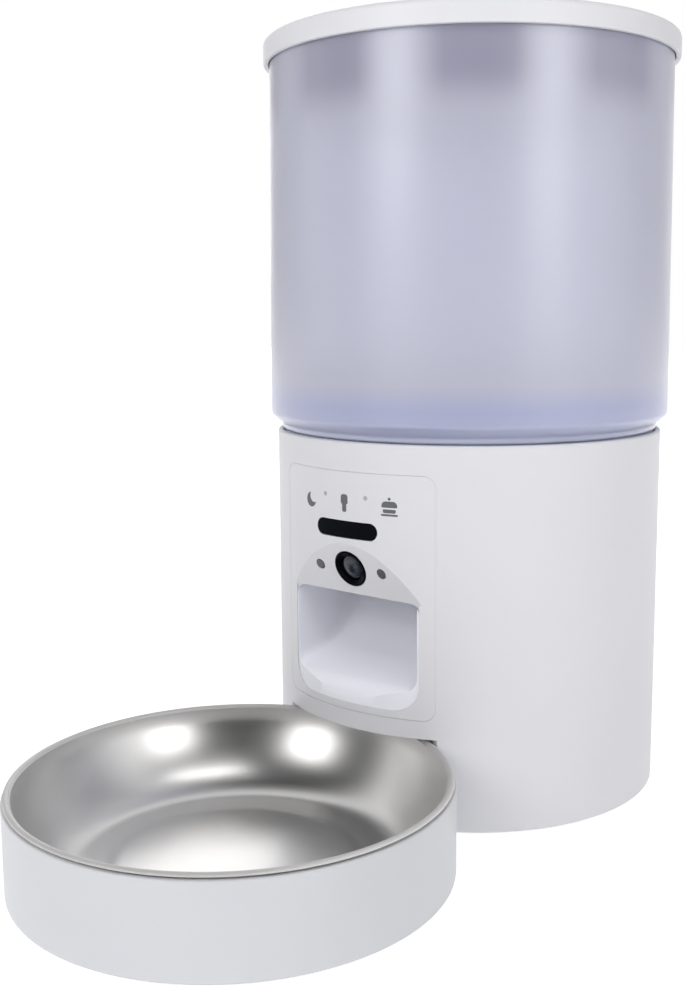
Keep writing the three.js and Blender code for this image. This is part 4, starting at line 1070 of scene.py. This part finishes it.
world = bpy.data.worlds.new("studio")
bpy.context.scene.world = world
world.use_nodes = True
sky = world.node_tree
sky.nodes.clear()
direction = added(sky, "TexCoord")
upward = added(sky, "SeparateXYZ")
ceiling = added(sky, "MapRange", {
    "From Min": 0.15, "From Max": 0.75, "To Min": 0.37, "To Max": 0.34})
backdrop = added(sky, "MapRange", {
    "From Min": 0.4, "From Max": 0.85, "To Min": 1.05, "To Max": 0.9})
ray = added(sky, "LightPath")
seen = added(sky, "Math", operation="MAXIMUM")
gloss_pick = added(sky, "Mix")
gloss_level = added(sky, "Mix")
camera_level = added(sky, "Mix", {"B": 1})
glow = added(sky, "Background", {"Color": (1, 1, 1, 1)})
sky_out = added(sky, "OutputWorld")
dimmed = (backdrop, "Result")
for turn, rise, spread, level in ((-15, 25, 80, 0.0), (118, 2, 32, 0.5), (-125, 2, 28, 0.45)):
    angle = view_angle + math.radians(turn)
    lift = math.radians(rise)
    flag = (math.cos(angle) * math.cos(lift), math.sin(angle) * math.cos(lift), math.sin(lift))
    toward = added(sky, "VectorMath", {1: flag}, operation="DOT_PRODUCT")
    shade = added(sky, "MapRange", {
        "From Min": math.cos(math.radians(spread)),
        "From Max": math.cos(math.radians(spread * flag_core_share)),
        "To Min": 1, "To Max": level}, interpolation_type="SMOOTHSTEP")
    dim = added(sky, "Math", operation="MULTIPLY")
    wired(sky, (direction, "Generated", toward, 0), (toward, "Value", shade, "Value"),
          (*dimmed, dim, 0), (shade, "Result", dim, 1))
    dimmed = (dim, 0)
wired(
    sky, (direction, "Generated", upward, "Vector"), (upward, "Z", ceiling, "Value"),
    (upward, "Z", backdrop, "Value"), (ray, "Is Glossy Ray", gloss_pick, "Factor"),
    (backdrop, "Result", gloss_pick, "A"), (*dimmed, gloss_pick, "B"),
    (ray, "Is Glossy Ray", seen, 0), (ray, "Is Transmission Ray", seen, 1),
    (seen, 0, gloss_level, "Factor"), (ceiling, "Result", gloss_level, "A"),
    (gloss_pick, "Result", gloss_level, "B"), (ray, "Is Camera Ray", camera_level, "Factor"),
    (gloss_level, "Result", camera_level, "A"), (camera_level, "Result", glow, "Strength"),
    (glow, "Background", sky_out, "Surface"))

floor_mesh = bmesh.new()
bmesh.ops.create_grid(floor_mesh, x_segments=2, y_segments=2, size=floor_reach)
floor_material = bpy.data.materials.new("studio_floor")
floor_material.use_nodes = True
floor_shader = shader_of(floor_material, {
    "Base Color": (0.9, 0.9, 0.9, 1), "Roughness": 0.7, "Specular IOR Level": 0.2,
    "Emission Color": (1, 1, 1, 1)})
floor_tree = floor_material.node_tree
floor_place = added(floor_tree, "TexCoord")
floor_distance = added(floor_tree, "VectorMath", operation="LENGTH")
floor_glow = added(floor_tree, "MapRange", {
    "From Min": 0.15, "From Max": 0.9, "To Min": 0.6, "To Max": 1.0})
floor_ray = added(floor_tree, "LightPath")
floor_seen = added(floor_tree, "Math", operation="MAXIMUM")
floor_seen_all = added(floor_tree, "Math", operation="MAXIMUM")
floor_bounce = added(floor_tree, "MapRange", {"To Min": floor_bounce_share})
floor_strength = added(floor_tree, "Math", operation="MULTIPLY")
wired(
    floor_tree, (floor_place, "Object", floor_distance, 0),
    (floor_distance, "Value", floor_glow, "Value"), (floor_ray, "Is Camera Ray", floor_seen, 0),
    (floor_ray, "Is Glossy Ray", floor_seen, 1), (floor_seen, 0, floor_seen_all, 0),
    (floor_ray, "Is Transmission Ray", floor_seen_all, 1),
    (floor_seen_all, 0, floor_bounce, "Value"), (floor_bounce, "Result", floor_strength, 0),
    (floor_glow, "Result", floor_strength, 1),
    (floor_strength, 0, floor_shader, "Emission Strength"))
floor = make_piece("floor", floor_mesh, floor_material)

bpy.context.scene.view_settings.view_transform = "Standard"
